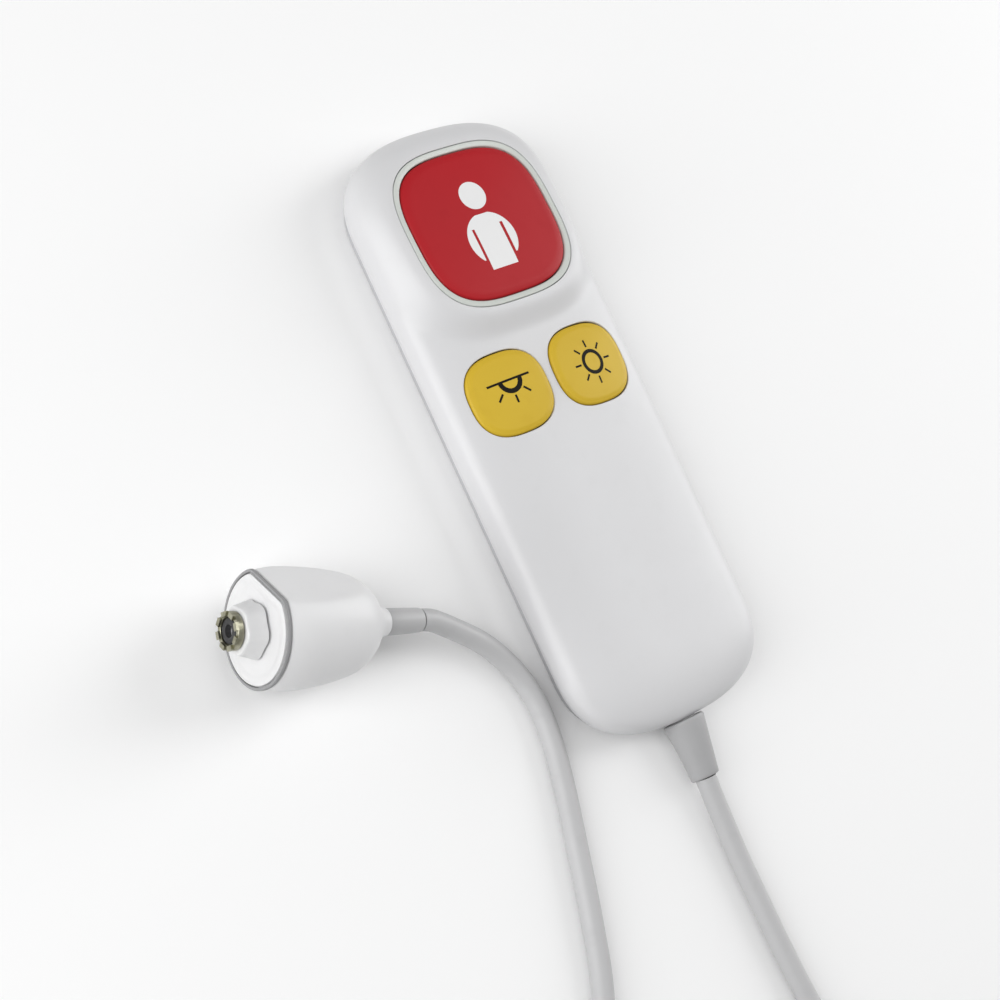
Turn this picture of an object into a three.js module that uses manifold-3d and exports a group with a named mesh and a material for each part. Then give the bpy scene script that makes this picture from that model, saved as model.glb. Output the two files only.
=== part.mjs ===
// Nurse call unit: a handset with three buttons, its cable, and the plug on the cable's end.
// Millimetres. +Z points out of the handset's front, +Y towards the call button's end.
// The origin lies under the middle of the handset, on the surface that it rests on.
import * as THREE from 'three';
import { mergeVertices } from 'three/addons/utils/BufferGeometryUtils.js';
import Module from 'manifold-3d';

const wasm = await Module();
wasm.setup();

// Housing
const COVER_WIDTH = 48;
const COVER_LENGTH = 136.9;
const COVER_END = 16.7;
const END_POWER = 2.6;
const COVER_THICK = 1.8;
const COVER_EDGE = 0.5;
const SEAM = 0.3;
const SIDE_FLARE = 2.4;
const SEAM_STEP = 0.2;
const BELT_Z = 7;
const FACE_Z = 14.3;
const EDGE_POWER = 3;
const WALL = 2.2;
const LIP_THICK = 1.2;
const LIP_HEIGHT = 1.6;
const GROOVE_TOP = 3;
const GROOVE_EDGE = 0.6;
const GROOVE_PLAY = 0.2;

// Clearances
const SEAT = 0.3;
const SLIDE = 0.35;

// Call button and the raised platform around it
const CALL_Y = 45.75;
const CALL_HALF_X = 18.4;
const CALL_HALF_Y = 17.3;
const CALL_POWER = 3.1;
const CALL_Z = 15.8;
const CALL_SLOPE = 0.067;
const CALL_CROWN = 1;
const PLATFORM_EDGE = 1.9;
const PLATFORM_FOOT = 2.6;
const PLATFORM_DEPTH = 2;
const HUMP_INNER = 1.1;
const HUMP_OUTER = 1.5;
const LIGHT_RING_WIDTH = 1;
const LIGHT_RING_DEPTH = 1.6;
const LEDGE = 1.2;

// Light buttons
const LIGHT_X = 11.4;
const LIGHT_Y = 8.65;
const LIGHT_HALF_X = 10.1;
const LIGHT_HALF_Y = 9.25;
const LIGHT_POWER = 2.65;
const LIGHT_Z = 14.05;
const LIGHT_SLOPE = 0.09;
const LIGHT_CROWN = 0.8;

// Button caps
const CAP_WALL = 1.8;
const CAP_SKIRT = 3.2;
const TAB_HEIGHT = 1.2;
const TAB_REACH = 1;
const STEM_RADIUS = 3;

// Circuit board and what it carries
const BOARD_Z = 4;
const BOARD_THICK = 1.6;
const BOARD_HALF_X = 21.5;
const BOARD_TOP_Y = 59;
const BOARD_LOW_Y = -34;
const BOARD_CORNER = 3;
const SWITCH_SIZE = 6;
const SWITCH_HEIGHT = 3.5;
const PLUNGER_RADIUS = 1.6;
const PLUNGER_RISE = 1.2;
const PLUNGER_DEPTH = 0.9;
const PLUNGER_WELL = 2.2;
const LAMP_SIZE = [1.6, 3.2, 1.3];
const HEADER_SIZE = [10, 5, 4];
const HEADER_Y = -28.5;

// Screws
const HOUSING_SCREW_SPOTS = [[18, 23.4], [-18, 23.4], [14, -59.5], [-14, -59.5]];
const BOARD_SCREW_SPOTS = [[8, 23.4], [-8, 23.4], [14, -29], [-14, -29]];
const CLAMP_SCREW_SPOTS = [[7, -57], [-7, -57]];
const BOSS_RADIUS = 2.7;
const BOSS_TOP_SINK = 0.8;
const SHANK_RADIUS = 1.2;
const HEAD_RADIUS = 2.2;
const HEAD_HEIGHT = 1.2;
const CUP_RADIUS = 3.6;
const CUP_HEIGHT = 1.8;
const CUP_BORE = 2.6;
const CUP_BORE_DEPTH = 2.1;
const SCREW_REACH = 5;

// Cable, its strain relief at the handset and its inner end
const CABLE = 4.8;
const CABLE_SIDES = 10;
const BOOT_Z = 5.2;
const BOOT_BASE = 4.8;
const BOOT_TIP = 3.35;
const BOOT_LENGTH = 13.1;
const BOOT_DROOP = 1.3;
const BOOT_NECK = 2.9;
const BOOT_FLANGE = 3.9;
const BOOT_FLANGE_THICK = 1.8;
const TAIL_END_Y = -49;
const CLAMP_SIZE = [20, 6, 1.2];
const PEDESTAL = 5;
const WIRE = 1.3;
const WIRES = 4;

// Coil of spare cable and its tie
const COIL_X = -36;
const COIL_Y = -178.5;
const COIL_Z = 1.1;
const COIL_TURN = 4.85;
const COIL_MIDDLE = 28.8;
const COIL_COLUMNS = 5;
const COIL_ROWS = 2;
const TIE_THICK = 0.8;
const TIE_WIDTH = 9;

// Plug, in its own frame: +X out of its nose, the face plane at 0
const PLUG_X = -90.8;
const PLUG_Y = -17.45;
const PLUG_Z = 13.6;
const PLUG_HEADING = 164;
const PLUG_PITCH = 7.3;
const PLUG_FACE = 11.9;
const PLUG_PROFILE = [[-1.2, 0], [-6, 0.6], [-13, 0.1], [-19.8, -1.2], [-23, -2.6], [-25.6, -4.6],
  [-27.6, -7], [-29.4, -8.6], [-31.2, -9.05]];
const PLUG_FLAT_ANGLE = 137;
const PLUG_FLAT_AT = 0.84;
const FACE_THICK = 0.9;
const GASKET_WIDTH = 0.6;
const GASKET_STEP = 0.15;
const NOSE_BASE = 5.8;
const NOSE_TIP = 4.4;
const NOSE_LENGTH = 4.4;
const NOSE_LOBES = 6;
const CONTACT_OUTER = 3.9;
const CONTACT_INNER = 2.9;
const CONTACT_TEETH = 8;
const CONTACT_LENGTH = 1.8;
const CARRIER_OUTER = 2.5;
const CARRIER_INNER = 1.3;
const SLEEVE_START = 2.85;
const SLEEVE_END = 2.6;
const SLEEVE_LENGTH = 8;

// Cable route between the coil and each end, as centre points
const HANDSET_ROUTE = [[0, -84.95, 3.85], [0, -89, 3.4], [0, -96, 2.9], [0, -104, 2.5], [0.1, -114, 2.5],
  [0.3, -126, 2.5], [1, -139, 2.5], [2, -149, 2.9], [2.5, -158, 3.5]];
const PLUG_ROUTE = [[-52.5, -28.45, 8.4], [-50, -29.25, 7.9], [-44.4, -32.85, 5.8], [-38.8, -37.55, 4.3],
  [-35, -42.35, 3.2], [-32.3, -48.05, 2.6], [-31.2, -53.65, 2.5], [-31.2, -59.05, 2.5],
  [-32.2, -66.25, 2.5], [-33.8, -73.55, 2.5], [-37.2, -86.15, 2.5], [-41.2, -100.25, 2.5],
  [-46.2, -114.65, 2.5], [-54, -127.65, 2.7], [-64.5, -139.65, 4.5], [-72.2, -149.65, 7],
  [-74.4, -158, 8.2]];

// Sizes that follow from the ones above
const coverHalfX = COVER_WIDTH / 2;
const coverHalfY = COVER_LENGTH / 2;
const seamZ = COVER_THICK + SEAM;
const beltHalfX = coverHalfX + SEAM_STEP + SIDE_FLARE;
const beltHalfY = coverHalfY + SEAM_STEP + SIDE_FLARE;
const beltEnd = COVER_END + SEAM_STEP + SIDE_FLARE;
const boardTop = BOARD_Z + BOARD_THICK;
const switchTop = boardTop + SWITCH_HEIGHT;
const plungerTop = switchTop + PLUNGER_RISE;
const ledgeDrop = LIGHT_RING_DEPTH + SEAT + LEDGE;
const wallY = -beltHalfY;
const bootBaseY = wallY - SEAT;
const flangeY = wallY + SIDE_FLARE + WALL + SEAT;
const tailStartY = flangeY + BOOT_FLANGE_THICK + SEAT;
const clampBarZ = BOOT_Z + CABLE / 2 + SEAT;

// Turns a closed geometry into a solid.
function solid(geometry) {
  const bare = geometry.clone();
  bare.deleteAttribute('normal');
  bare.deleteAttribute('uv');
  const merged = mergeVertices(bare, 1e-4);
  const index = merged.index.array;
  const kept = [];
  for (let i = 0; i < index.length; i += 3) {
    const [a, b, c] = [index[i], index[i + 1], index[i + 2]];
    if (a !== b && b !== c && c !== a) {
      kept.push(a, b, c);
    }
  }
  return new wasm.Manifold(new wasm.Mesh({
    numProp: 3,
    vertProperties: new Float32Array(merged.attributes.position.array),
    triVerts: new Uint32Array(kept),
  }));
}

// Turns a solid back into a geometry with flat shading normals.
function geometryOf(body) {
  const mesh = body.getMesh();
  const geometry = new THREE.BufferGeometry();
  const points = new Float32Array(mesh.numVert * 3);
  for (let i = 0; i < mesh.numVert; i += 1) {
    for (let k = 0; k < 3; k += 1) {
      points[3 * i + k] = mesh.vertProperties[mesh.numProp * i + k];
    }
  }
  geometry.setAttribute('position', new THREE.BufferAttribute(points, 3));
  geometry.setIndex(new THREE.BufferAttribute(new Uint32Array(mesh.triVerts), 1));
  geometry.computeVertexNormals();
  return geometry;
}

function joined(first, ...rest) {
  return rest.reduce((body, next) => body.add(next), first);
}

function cut(first, ...rest) {
  return rest.reduce((body, next) => body.subtract(next), first);
}

// An upright prism over a closed outline.
function prism(points, low, high) {
  const geometry = new THREE.ExtrudeGeometry(new THREE.Shape(points), {
    depth: high - low,
    bevelEnabled: false,
    steps: 1,
  });
  geometry.translate(0, 0, low);
  return solid(geometry);
}

function box(sizeX, sizeY, sizeZ, x, y, z) {
  const geometry = new THREE.BoxGeometry(sizeX, sizeY, sizeZ);
  geometry.translate(x, y, z);
  return solid(geometry);
}

function upright(radius, low, high, x, y, sides = 16) {
  const geometry = new THREE.CylinderGeometry(radius, radius, high - low, sides);
  geometry.rotateX(Math.PI / 2);
  geometry.translate(x, y, (low + high) / 2);
  return solid(geometry);
}

// A turned body about the X axis, from pairs of place along X and radius.
function turned(profile, sides = 32) {
  const points = profile.map(([along, radius]) => new THREE.Vector2(radius, along));
  if (THREE.ShapeUtils.area(points) < 0) {
    points.reverse();
  }
  const geometry = new THREE.LatheGeometry(points, sides);
  geometry.rotateZ(-Math.PI / 2);
  return solid(geometry);
}

// A closed skin over rings of equal length, counter-clockwise seen from the end of the last ring.
function loft(rings, closed = false) {
  const count = rings[0].length;
  const points = rings.flat().map((point) => point.toArray());
  const faces = [];
  const pairs = closed ? rings.length : rings.length - 1;
  for (let r = 0; r < pairs; r += 1) {
    const low = r * count;
    const high = ((r + 1) % rings.length) * count;
    for (let i = 0; i < count; i += 1) {
      const j = (i + 1) % count;
      faces.push(low + i, low + j, high + j, low + i, high + j, high + i);
    }
  }
  if (!closed) {
    for (const [ring, turnedOver] of [[0, true], [rings.length - 1, false]]) {
      const middle = rings[ring].reduce((sum, point) => sum.add(point), new THREE.Vector3());
      points.push(middle.divideScalar(count).toArray());
      for (let i = 0; i < count; i += 1) {
        const a = ring * count + i;
        const b = ring * count + ((i + 1) % count);
        faces.push(points.length - 1, turnedOver ? b : a, turnedOver ? a : b);
      }
    }
  }
  const geometry = new THREE.BufferGeometry();
  geometry.setAttribute('position', new THREE.Float32BufferAttribute(points.flat(), 3));
  geometry.setIndex(faces);
  return solid(geometry);
}

// The handset's plan outline, moved inwards by inset, as points counter-clockwise.
function outline(halfX, halfY, end, inset = 0, sideSteps = 1) {
  const endSteps = 16;
  const straightY = halfY - end;
  const points = [];
  for (const side of [1, -1]) {
    for (let i = 0; i < sideSteps; i += 1) {
      const y = side * straightY * ((2 * i) / sideSteps - 1);
      points.push(new THREE.Vector2(side * (halfX - inset), y));
    }
    for (let i = 0; i < endSteps; i += 1) {
      const turn = (Math.PI * i) / endSteps;
      const across = Math.cos(turn);
      const reach = Math.sign(across) * Math.abs(across) ** (2 / END_POWER);
      points.push(new THREE.Vector2(
        side * (halfX - inset) * reach,
        side * (straightY + (end - inset) * Math.sin(turn) ** (2 / END_POWER)),
      ));
    }
  }
  return points;
}

// A square with full corners: the outline of the buttons.
function squircle(halfX, halfY, power, count) {
  const points = [];
  for (let i = 0; i < count; i += 1) {
    const turn = (2 * Math.PI * i) / count;
    const across = Math.cos(turn);
    const along = Math.sin(turn);
    points.push(new THREE.Vector2(
      halfX * Math.sign(across) * Math.abs(across) ** (2 / power),
      halfY * Math.sign(along) * Math.abs(along) ** (2 / power),
    ));
  }
  return points;
}

// Place between the middle line (0) and the plan outline (1).
function outward(x, y, halfX, halfY, end) {
  const along = Math.max(0, Math.abs(y) - (halfY - end)) / end;
  return ((Math.abs(x) / halfX) ** END_POWER + along ** END_POWER) ** (1 / END_POWER);
}

function callPlane(y) {
  return CALL_Z - CALL_SLOPE * (y - CALL_Y);
}

// How much the platform lifts the face at a point: 1 on it, falling smoothly to 0 around it.
function humpShare(x, y) {
  const reach = (Math.abs(x / CALL_HALF_X) ** CALL_POWER
    + Math.abs((y - CALL_Y) / CALL_HALF_Y) ** CALL_POWER) ** (1 / CALL_POWER);
  const t = THREE.MathUtils.clamp((HUMP_OUTER - reach) / (HUMP_OUTER - HUMP_INNER), 0, 1);
  return t * t * (3 - 2 * t);
}

// Height of the housing's rounded front, its skin moved inwards by depth.
function frontHeight(x, y, depth = 0, humpDepth = depth) {
  const place = outward(x, y, beltHalfX - depth, beltHalfY - depth, beltEnd - depth);
  const rise = FACE_Z - depth - BELT_Z;
  const plain = BELT_Z + rise * Math.cbrt(Math.max(0, 1 - place ** EDGE_POWER));
  const raised = callPlane(y) - humpDepth;
  return plain + humpShare(x, y) * Math.max(0, raised - plain);
}

function sideInset(z) {
  return SIDE_FLARE * ((BELT_Z - z) / (BELT_Z - seamZ)) ** 2;
}

// The rounded housing body, its skin moved inwards by depth.
function pillow(depth, humpDepth, sides, edgeShares, sideSteps) {
  const [halfX, halfY, end] = [beltHalfX - depth, beltHalfY - depth, beltEnd - depth];
  const spineY = halfY - end;
  const rings = sides.map(([z, flareZ]) => outline(halfX, halfY, end, sideInset(flareZ), sideSteps)
    .map((point) => new THREE.Vector3(point.x, point.y, z)));
  let last = [];
  for (const share of edgeShares) {
    const kept = 1 - share;
    last = outline(halfX * kept, spineY + end * kept, end * kept, 0, sideSteps);
    rings.push(last.map((p) => new THREE.Vector3(p.x, p.y, frontHeight(p.x, p.y, depth, humpDepth))));
  }
  for (const share of [0.3, 0.6, 1]) {
    rings.push(last.map((p) => {
      const x = p.x * (1 - share);
      const end = THREE.MathUtils.clamp(p.y, -spineY, spineY);
      const y = THREE.MathUtils.lerp(p.y, end, share);
      return new THREE.Vector3(x, y, frontHeight(x, y, depth, humpDepth));
    }));
  }
  const lid = rings.pop();
  return closedOverSpine(rings, lid);
}

// A skin over rings whose last one has folded flat onto a line.
function closedOverSpine(rings, lid) {
  const count = lid.length;
  const all = [...rings, lid];
  const points = all.flat().map((point) => point.toArray());
  const faces = [];
  for (let r = 0; r + 1 < all.length; r += 1) {
    for (let i = 0; i < count; i += 1) {
      const j = (i + 1) % count;
      const [a, b] = [r * count + i, r * count + j];
      const [c, d] = [b + count, a + count];
      faces.push(a, b, c, a, c, d);
    }
  }
  points.push([0, 0, rings[0][0].z]);
  for (let i = 0; i < count; i += 1) {
    faces.push(points.length - 1, (i + 1) % count, i);
  }
  const geometry = new THREE.BufferGeometry();
  geometry.setAttribute('position', new THREE.Float32BufferAttribute(points.flat(), 3));
  geometry.setIndex(faces);
  return solid(geometry);
}

// Rings of one squircle at offsets and heights over a sloping plane.
function squircleRings(spec, steps) {
  return steps.map(([offset, height]) => squircle(spec.halfX + offset, spec.halfY + offset, spec.power, spec.count)
    .map((point) => {
      const [x, y] = [point.x + spec.x, point.y + spec.y];
      return new THREE.Vector3(x, y, spec.plane(x, y) + height);
    }));
}

const callSpec = {
  x: 0,
  y: CALL_Y,
  halfX: CALL_HALF_X,
  halfY: CALL_HALF_Y,
  power: CALL_POWER,
  crown: CALL_CROWN,
  plane: (x, y) => callPlane(y),
  underside: ledgeDrop,
  tabWidth: 12,
  count: 40,
};

function lightSpec(side) {
  return {
    x: side * LIGHT_X,
    y: LIGHT_Y,
    halfX: LIGHT_HALF_X,
    halfY: LIGHT_HALF_Y,
    power: LIGHT_POWER,
    crown: LIGHT_CROWN,
    plane: (x) => LIGHT_Z - LIGHT_SLOPE * (side * x - LIGHT_X),
    underside: WALL,
    tabWidth: 6,
    count: 32,
  };
}

function bossTop(x, y) {
  return frontHeight(x, y, WALL, ledgeDrop) + BOSS_TOP_SINK;
}

// Front shell: thin rounded housing with its button openings, bosses and seats.
function frontShell() {
  const outerSides = [seamZ, 3.2, 4.4, 5.8].map((z) => [z, z]);
  const outer = pillow(0, 0, outerSides, [0, 0.005, 0.02, 0.05, 0.09, 0.16, 0.26, 0.4], 22);
  const platform = loft(squircleRings(callSpec, [
    [PLATFORM_FOOT, -PLATFORM_DEPTH - 1],
    [PLATFORM_FOOT, -PLATFORM_DEPTH],
    [PLATFORM_EDGE + 0.35, -0.45],
    [PLATFORM_EDGE, 0],
  ]));
  const innerSides = [[seamZ - 1, seamZ], [GROOVE_TOP + 0.4, seamZ], [4.4, 4.4]];
  const cavity = pillow(WALL, ledgeDrop, innerSides, [0, 0.03, 0.1, 0.22, 0.42], 14);
  const seatOffset = SLIDE + LIGHT_RING_WIDTH + SEAT;
  const ringSeat = loft(squircleRings(callSpec, [
    [seatOffset, -LIGHT_RING_DEPTH - SEAT],
    [seatOffset, 4],
  ]));
  const callOpening = loft(squircleRings(callSpec, [[SLIDE, -ledgeDrop - 3], [SLIDE, 4]]));
  const lightOpenings = [1, -1].map((side) => loft(squircleRings(lightSpec(side), [[SLIDE, -6], [SLIDE, 4]])));
  const legSlots = [1, -1].map((side) => box(
    LIGHT_RING_WIDTH + 2 * SEAT, 4 + 2 * SEAT, 8,
    side * (CALL_HALF_X + SLIDE + LIGHT_RING_WIDTH / 2), CALL_Y, CALL_Z - 4,
  ));
  let shell = cut(joined(outer, platform), cavity);
  for (const [x, y] of HOUSING_SCREW_SPOTS) {
    shell = shell.add(upright(BOSS_RADIUS, COVER_THICK + CUP_HEIGHT + SEAT, bossTop(x, y), x, y));
  }
  for (const [x, y] of BOARD_SCREW_SPOTS) {
    shell = shell.add(upright(BOSS_RADIUS, boardTop + SEAT, bossTop(x, y), x, y));
  }
  const bores = [];
  for (const [x, y] of HOUSING_SCREW_SPOTS) {
    const low = COVER_THICK + CUP_HEIGHT;
    bores.push(upright(SHANK_RADIUS + SEAT, low - 1, low + SCREW_REACH + 2 * SEAT, x, y, 12));
  }
  for (const [x, y] of BOARD_SCREW_SPOTS) {
    bores.push(upright(SHANK_RADIUS + SEAT, boardTop - 1, boardTop + SCREW_REACH, x, y, 12));
  }
  const neck = BOOT_NECK + SEAT;
  const hole = turned([[wallY - 2, 0], [wallY - 2, neck], [wallY + 5, neck], [wallY + 5, 0]], 20)
    .rotate([0, 0, 90]).translate([0, 0, BOOT_Z]);
  const slot = box(2 * neck, 7, BOOT_Z, 0, wallY + 1.5, BOOT_Z / 2);
  const groove = cut(
    prism(outline(beltHalfX, beltHalfY, beltEnd, SIDE_FLARE + GROOVE_EDGE), 0, GROOVE_TOP),
    prism(outline(beltHalfX, beltHalfY, beltEnd, SIDE_FLARE + WALL - GROOVE_EDGE), -1, GROOVE_TOP + 1),
  );
  return cut(shell, ringSeat, callOpening, ...lightOpenings, ...legSlots, ...bores, hole, slot, groove);
}

// Rear cover: plate, locating lip, screw cups and the cable clamp's posts.
function rearCover() {
  const at = (inset, z) => outline(coverHalfX, coverHalfY, COVER_END, inset)
    .map((point) => new THREE.Vector3(point.x, point.y, z));
  const plate = loft([at(COVER_EDGE, 0), at(0, COVER_EDGE), at(0, COVER_THICK)]);
  const lipInset = WALL + SEAT - SEAM_STEP;
  const lip = cut(
    prism(outline(coverHalfX, coverHalfY, COVER_END, lipInset), COVER_THICK / 2, COVER_THICK + LIP_HEIGHT),
    prism(outline(coverHalfX, coverHalfY, COVER_END, lipInset + LIP_THICK), 0, COVER_THICK + 3),
  );
  const lipGap = box(2 * BOOT_FLANGE + 2, 8, 4, 0, -coverHalfY + lipInset, COVER_THICK + 2);
  let cover = plate.add(lip.subtract(lipGap));
  for (const [x, y] of HOUSING_SCREW_SPOTS) {
    cover = cover.add(upright(CUP_RADIUS, COVER_THICK / 2, COVER_THICK + CUP_HEIGHT, x, y, 24));
  }
  for (const [x, y] of CLAMP_SCREW_SPOTS) {
    cover = cover.add(upright(BOSS_RADIUS, COVER_THICK / 2, clampBarZ - SEAT, x, y));
    cover = cover.subtract(upright(SHANK_RADIUS + SEAT, clampBarZ - SCREW_REACH, clampBarZ, x, y, 12));
  }
  for (const [x, y] of HOUSING_SCREW_SPOTS) {
    cover = cut(
      cover,
      upright(CUP_BORE, -1, CUP_BORE_DEPTH, x, y),
      upright(SHANK_RADIUS + SEAT, 0, COVER_THICK + CUP_HEIGHT + 1, x, y, 12),
    );
  }
  const pedestalTop = BOOT_Z - CABLE / 2 - SEAT;
  const clampY = CLAMP_SCREW_SPOTS[0][1];
  return cover.add(box(PEDESTAL, PEDESTAL, pedestalTop - COVER_THICK / 2, 0, clampY, (pedestalTop + COVER_THICK / 2) / 2));
}

// Sealing cord in the groove of the front shell's lower edge.
function shellGasket() {
  const inset = GROOVE_EDGE + GROOVE_PLAY;
  const outer = outline(beltHalfX, beltHalfY, beltEnd, SIDE_FLARE + inset);
  const inner = outline(beltHalfX, beltHalfY, beltEnd, SIDE_FLARE + WALL - inset);
  const opening = box(2 * (BOOT_NECK + SEAT), 10, 4, 0, wallY, seamZ);
  return cut(prism(outer, seamZ, GROOVE_TOP - GROOVE_PLAY), prism(inner, seamZ - 1, seamZ + 2), opening);
}

// Clear ring around the call button, with a leg down to each lamp.
function callLightRing() {
  const [near, far] = [SLIDE, SLIDE + LIGHT_RING_WIDTH];
  const rings = squircleRings(callSpec, [
    [far, -LIGHT_RING_DEPTH],
    [far, 0],
    [near, -0.25],
    [near, -LIGHT_RING_DEPTH],
  ]);
  const lampTop = boardTop + LAMP_SIZE[2];
  const legTop = CALL_Z - LIGHT_RING_DEPTH / 2;
  const legs = [1, -1].map((side) => box(
    LIGHT_RING_WIDTH, 4, legTop - lampTop - SEAT,
    side * (CALL_HALF_X + SLIDE + LIGHT_RING_WIDTH / 2), CALL_Y, (legTop + lampTop + SEAT) / 2,
  ));
  return joined(loft(rings, true), ...legs);
}

// A button cap: crowned top, hollow skirt, retaining tabs and the stem over its switch.
function buttonCap(spec) {
  const skirt = spec.underside + CAP_SKIRT - TAB_HEIGHT;
  const outer = loft([
    ...squircleRings(spec, [[0, -skirt], [0, -0.55], [-0.2, -0.1], [-0.75, 0.18]]),
    ...[0.7, 0.35].map((share) => squircle(spec.halfX * share, spec.halfY * share, spec.power, spec.count)
      .map((point) => {
        const [x, y] = [point.x + spec.x, point.y + spec.y];
        return new THREE.Vector3(x, y, spec.plane(x, y) + 0.2 + (spec.crown - 0.2) * (1 - share ** 2));
      })),
  ]);
  const pocket = loft(squircleRings(spec, [[-CAP_WALL, -skirt - 1], [-CAP_WALL, -CAP_WALL]]));
  const stem = upright(STEM_RADIUS, plungerTop + SEAT, spec.plane(spec.x, spec.y) - CAP_WALL / 2, spec.x, spec.y);
  const tabs = [1, -1].map((side) => {
    const y = spec.y + side * (spec.halfY - 0.5 + TAB_REACH / 2);
    const z = spec.plane(spec.x, y) - skirt + TAB_HEIGHT / 2;
    return box(spec.tabWidth, 1 + TAB_REACH, TAB_HEIGHT, spec.x, y, z);
  });
  return joined(cut(outer, pocket), stem, ...tabs);
}

function circuitBoard() {
  const midY = (BOARD_TOP_Y + BOARD_LOW_Y) / 2;
  const halfY = (BOARD_TOP_Y - BOARD_LOW_Y) / 2;
  const shape = new THREE.Shape();
  const reach = Math.PI / 2;
  [[1, -1], [1, 1], [-1, 1], [-1, -1]].forEach(([sx, sy], i) => {
    const x = sx * (BOARD_HALF_X - BOARD_CORNER);
    const y = midY + sy * (halfY - BOARD_CORNER);
    shape.absarc(x, y, BOARD_CORNER, (i - 1) * reach, i * reach, false);
  });
  const board = prism(shape.getPoints(5), BOARD_Z, boardTop);
  const [low, high] = [BOARD_Z - 2, boardTop + 2];
  const notch = BOSS_RADIUS + 2 * SEAT;
  return cut(
    board,
    ...HOUSING_SCREW_SPOTS.map(([x, y]) => upright(notch, low, high, x, y)),
    ...HOUSING_SCREW_SPOTS.map(([x, y]) => box(8, 2 * notch, high - low, x + 4 * Math.sign(x), y, BOARD_Z)),
    ...BOARD_SCREW_SPOTS.map(([x, y]) => upright(SHANK_RADIUS + SEAT, low, high, x, y, 12)),
  );
}

function switchBody(spec) {
  const base = box(SWITCH_SIZE, SWITCH_SIZE, SWITCH_HEIGHT, spec.x, spec.y, boardTop + SWITCH_HEIGHT / 2);
  return base.subtract(upright(PLUNGER_RADIUS + SEAT, switchTop - PLUNGER_WELL, switchTop + 1, spec.x, spec.y, 16));
}

function switchPlunger(spec) {
  return upright(PLUNGER_RADIUS, switchTop - PLUNGER_DEPTH, plungerTop, spec.x, spec.y, 16);
}

// A screw with its head at low, pointing up (+1) or down (-1).
function screw(x, y, headZ, way) {
  const ends = [headZ, headZ + way * HEAD_HEIGHT, headZ + way * (HEAD_HEIGHT + SCREW_REACH)];
  const head = upright(HEAD_RADIUS, Math.min(ends[0], ends[1]), Math.max(ends[0], ends[1]), x, y, 12);
  const shank = upright(SHANK_RADIUS, Math.min(ends[0], ends[2]), Math.max(ends[0], ends[2]), x, y, 8);
  const slotZ = headZ + way * 0.2;
  return head.add(shank).subtract(box(2 * HEAD_RADIUS + 1, 0.6, 0.6, x, y, slotZ));
}

// Strain relief moulded on the cable: flange inside, neck in the wall, tapered sleeve outside.
function handsetBoot() {
  const ring = (y, radius) => {
    const along = Math.max(0, bootBaseY - y) / BOOT_LENGTH;
    const points = [];
    for (let i = 0; i < 20; i += 1) {
      const turn = (2 * Math.PI * i) / 20;
      const z = BOOT_Z - BOOT_DROOP * along ** 1.4 + radius * Math.sin(turn);
      points.push(new THREE.Vector3(radius * Math.cos(turn), y, z));
    }
    return points;
  };
  const sleeve = loft([
    ring(flangeY + 0.5, BOOT_NECK), ring(bootBaseY, BOOT_NECK), ring(bootBaseY - 0.01, BOOT_BASE - 0.3),
    ring(bootBaseY - 0.4, BOOT_BASE), ring(bootBaseY - 2, BOOT_BASE - 0.2),
    ring(bootBaseY - BOOT_LENGTH * 0.5, (BOOT_BASE + BOOT_TIP) / 2),
    ring(bootBaseY - BOOT_LENGTH, BOOT_TIP),
  ]);
  const flange = turned([
    [flangeY + BOOT_FLANGE_THICK, 0], [flangeY + BOOT_FLANGE_THICK, BOOT_FLANGE],
    [flangeY, BOOT_FLANGE], [flangeY, 0],
  ], 20).rotate([0, 0, 90]).translate([0, 0, BOOT_Z]);
  return sleeve.add(flange).subtract(box(12, 8, 4, 0, flangeY + 4, COVER_THICK + SEAT - 2));
}

function innerCable() {
  const radius = CABLE / 2;
  return turned([[TAIL_END_Y, 0], [TAIL_END_Y, radius], [tailStartY, radius], [tailStartY, 0]], 20)
    .rotate([0, 0, 90]).translate([0, 0, BOOT_Z]);
}

function cableClamp() {
  const [x, y, z] = CLAMP_SIZE;
  const bar = box(x, y, z, 0, CLAMP_SCREW_SPOTS[0][1], clampBarZ + z / 2);
  return cut(bar, ...CLAMP_SCREW_SPOTS.map(([sx, sy]) => upright(
    SHANK_RADIUS + SEAT, clampBarZ - 1, clampBarZ + z + 1, sx, sy, 12,
  )));
}

// Flat bundle of cores from the cable's end to the board's header.
function signalWires() {
  const shape = new THREE.Shape();
  for (let i = 0; i < WIRES; i += 1) {
    const at = (i - (WIRES - 1) / 2) * WIRE;
    shape.absarc(at, 0, WIRE / 2, (7 * Math.PI) / 6, (11 * Math.PI) / 6, false);
  }
  for (let i = WIRES - 1; i >= 0; i -= 1) {
    const at = (i - (WIRES - 1) / 2) * WIRE;
    shape.absarc(at, 0, WIRE / 2, Math.PI / 6, (5 * Math.PI) / 6, false);
  }
  const startY = HEADER_Y - HEADER_SIZE[1] / 2 - SEAT;
  const headerZ = boardTop + HEADER_SIZE[2] / 2;
  const path = new THREE.CatmullRomCurve3([
    new THREE.Vector3(0, startY, headerZ),
    new THREE.Vector3(0, startY - 4, headerZ),
    new THREE.Vector3(0, (startY + TAIL_END_Y) / 2, (headerZ + BOOT_Z) / 2 + 0.4),
    new THREE.Vector3(0, TAIL_END_Y + 4, BOOT_Z),
    new THREE.Vector3(0, TAIL_END_Y + SEAT, BOOT_Z),
  ]);
  return solid(new THREE.ExtrudeGeometry(new THREE.Shape(shape.getPoints(1)), { steps: 8, extrudePath: path }));
}

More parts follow.
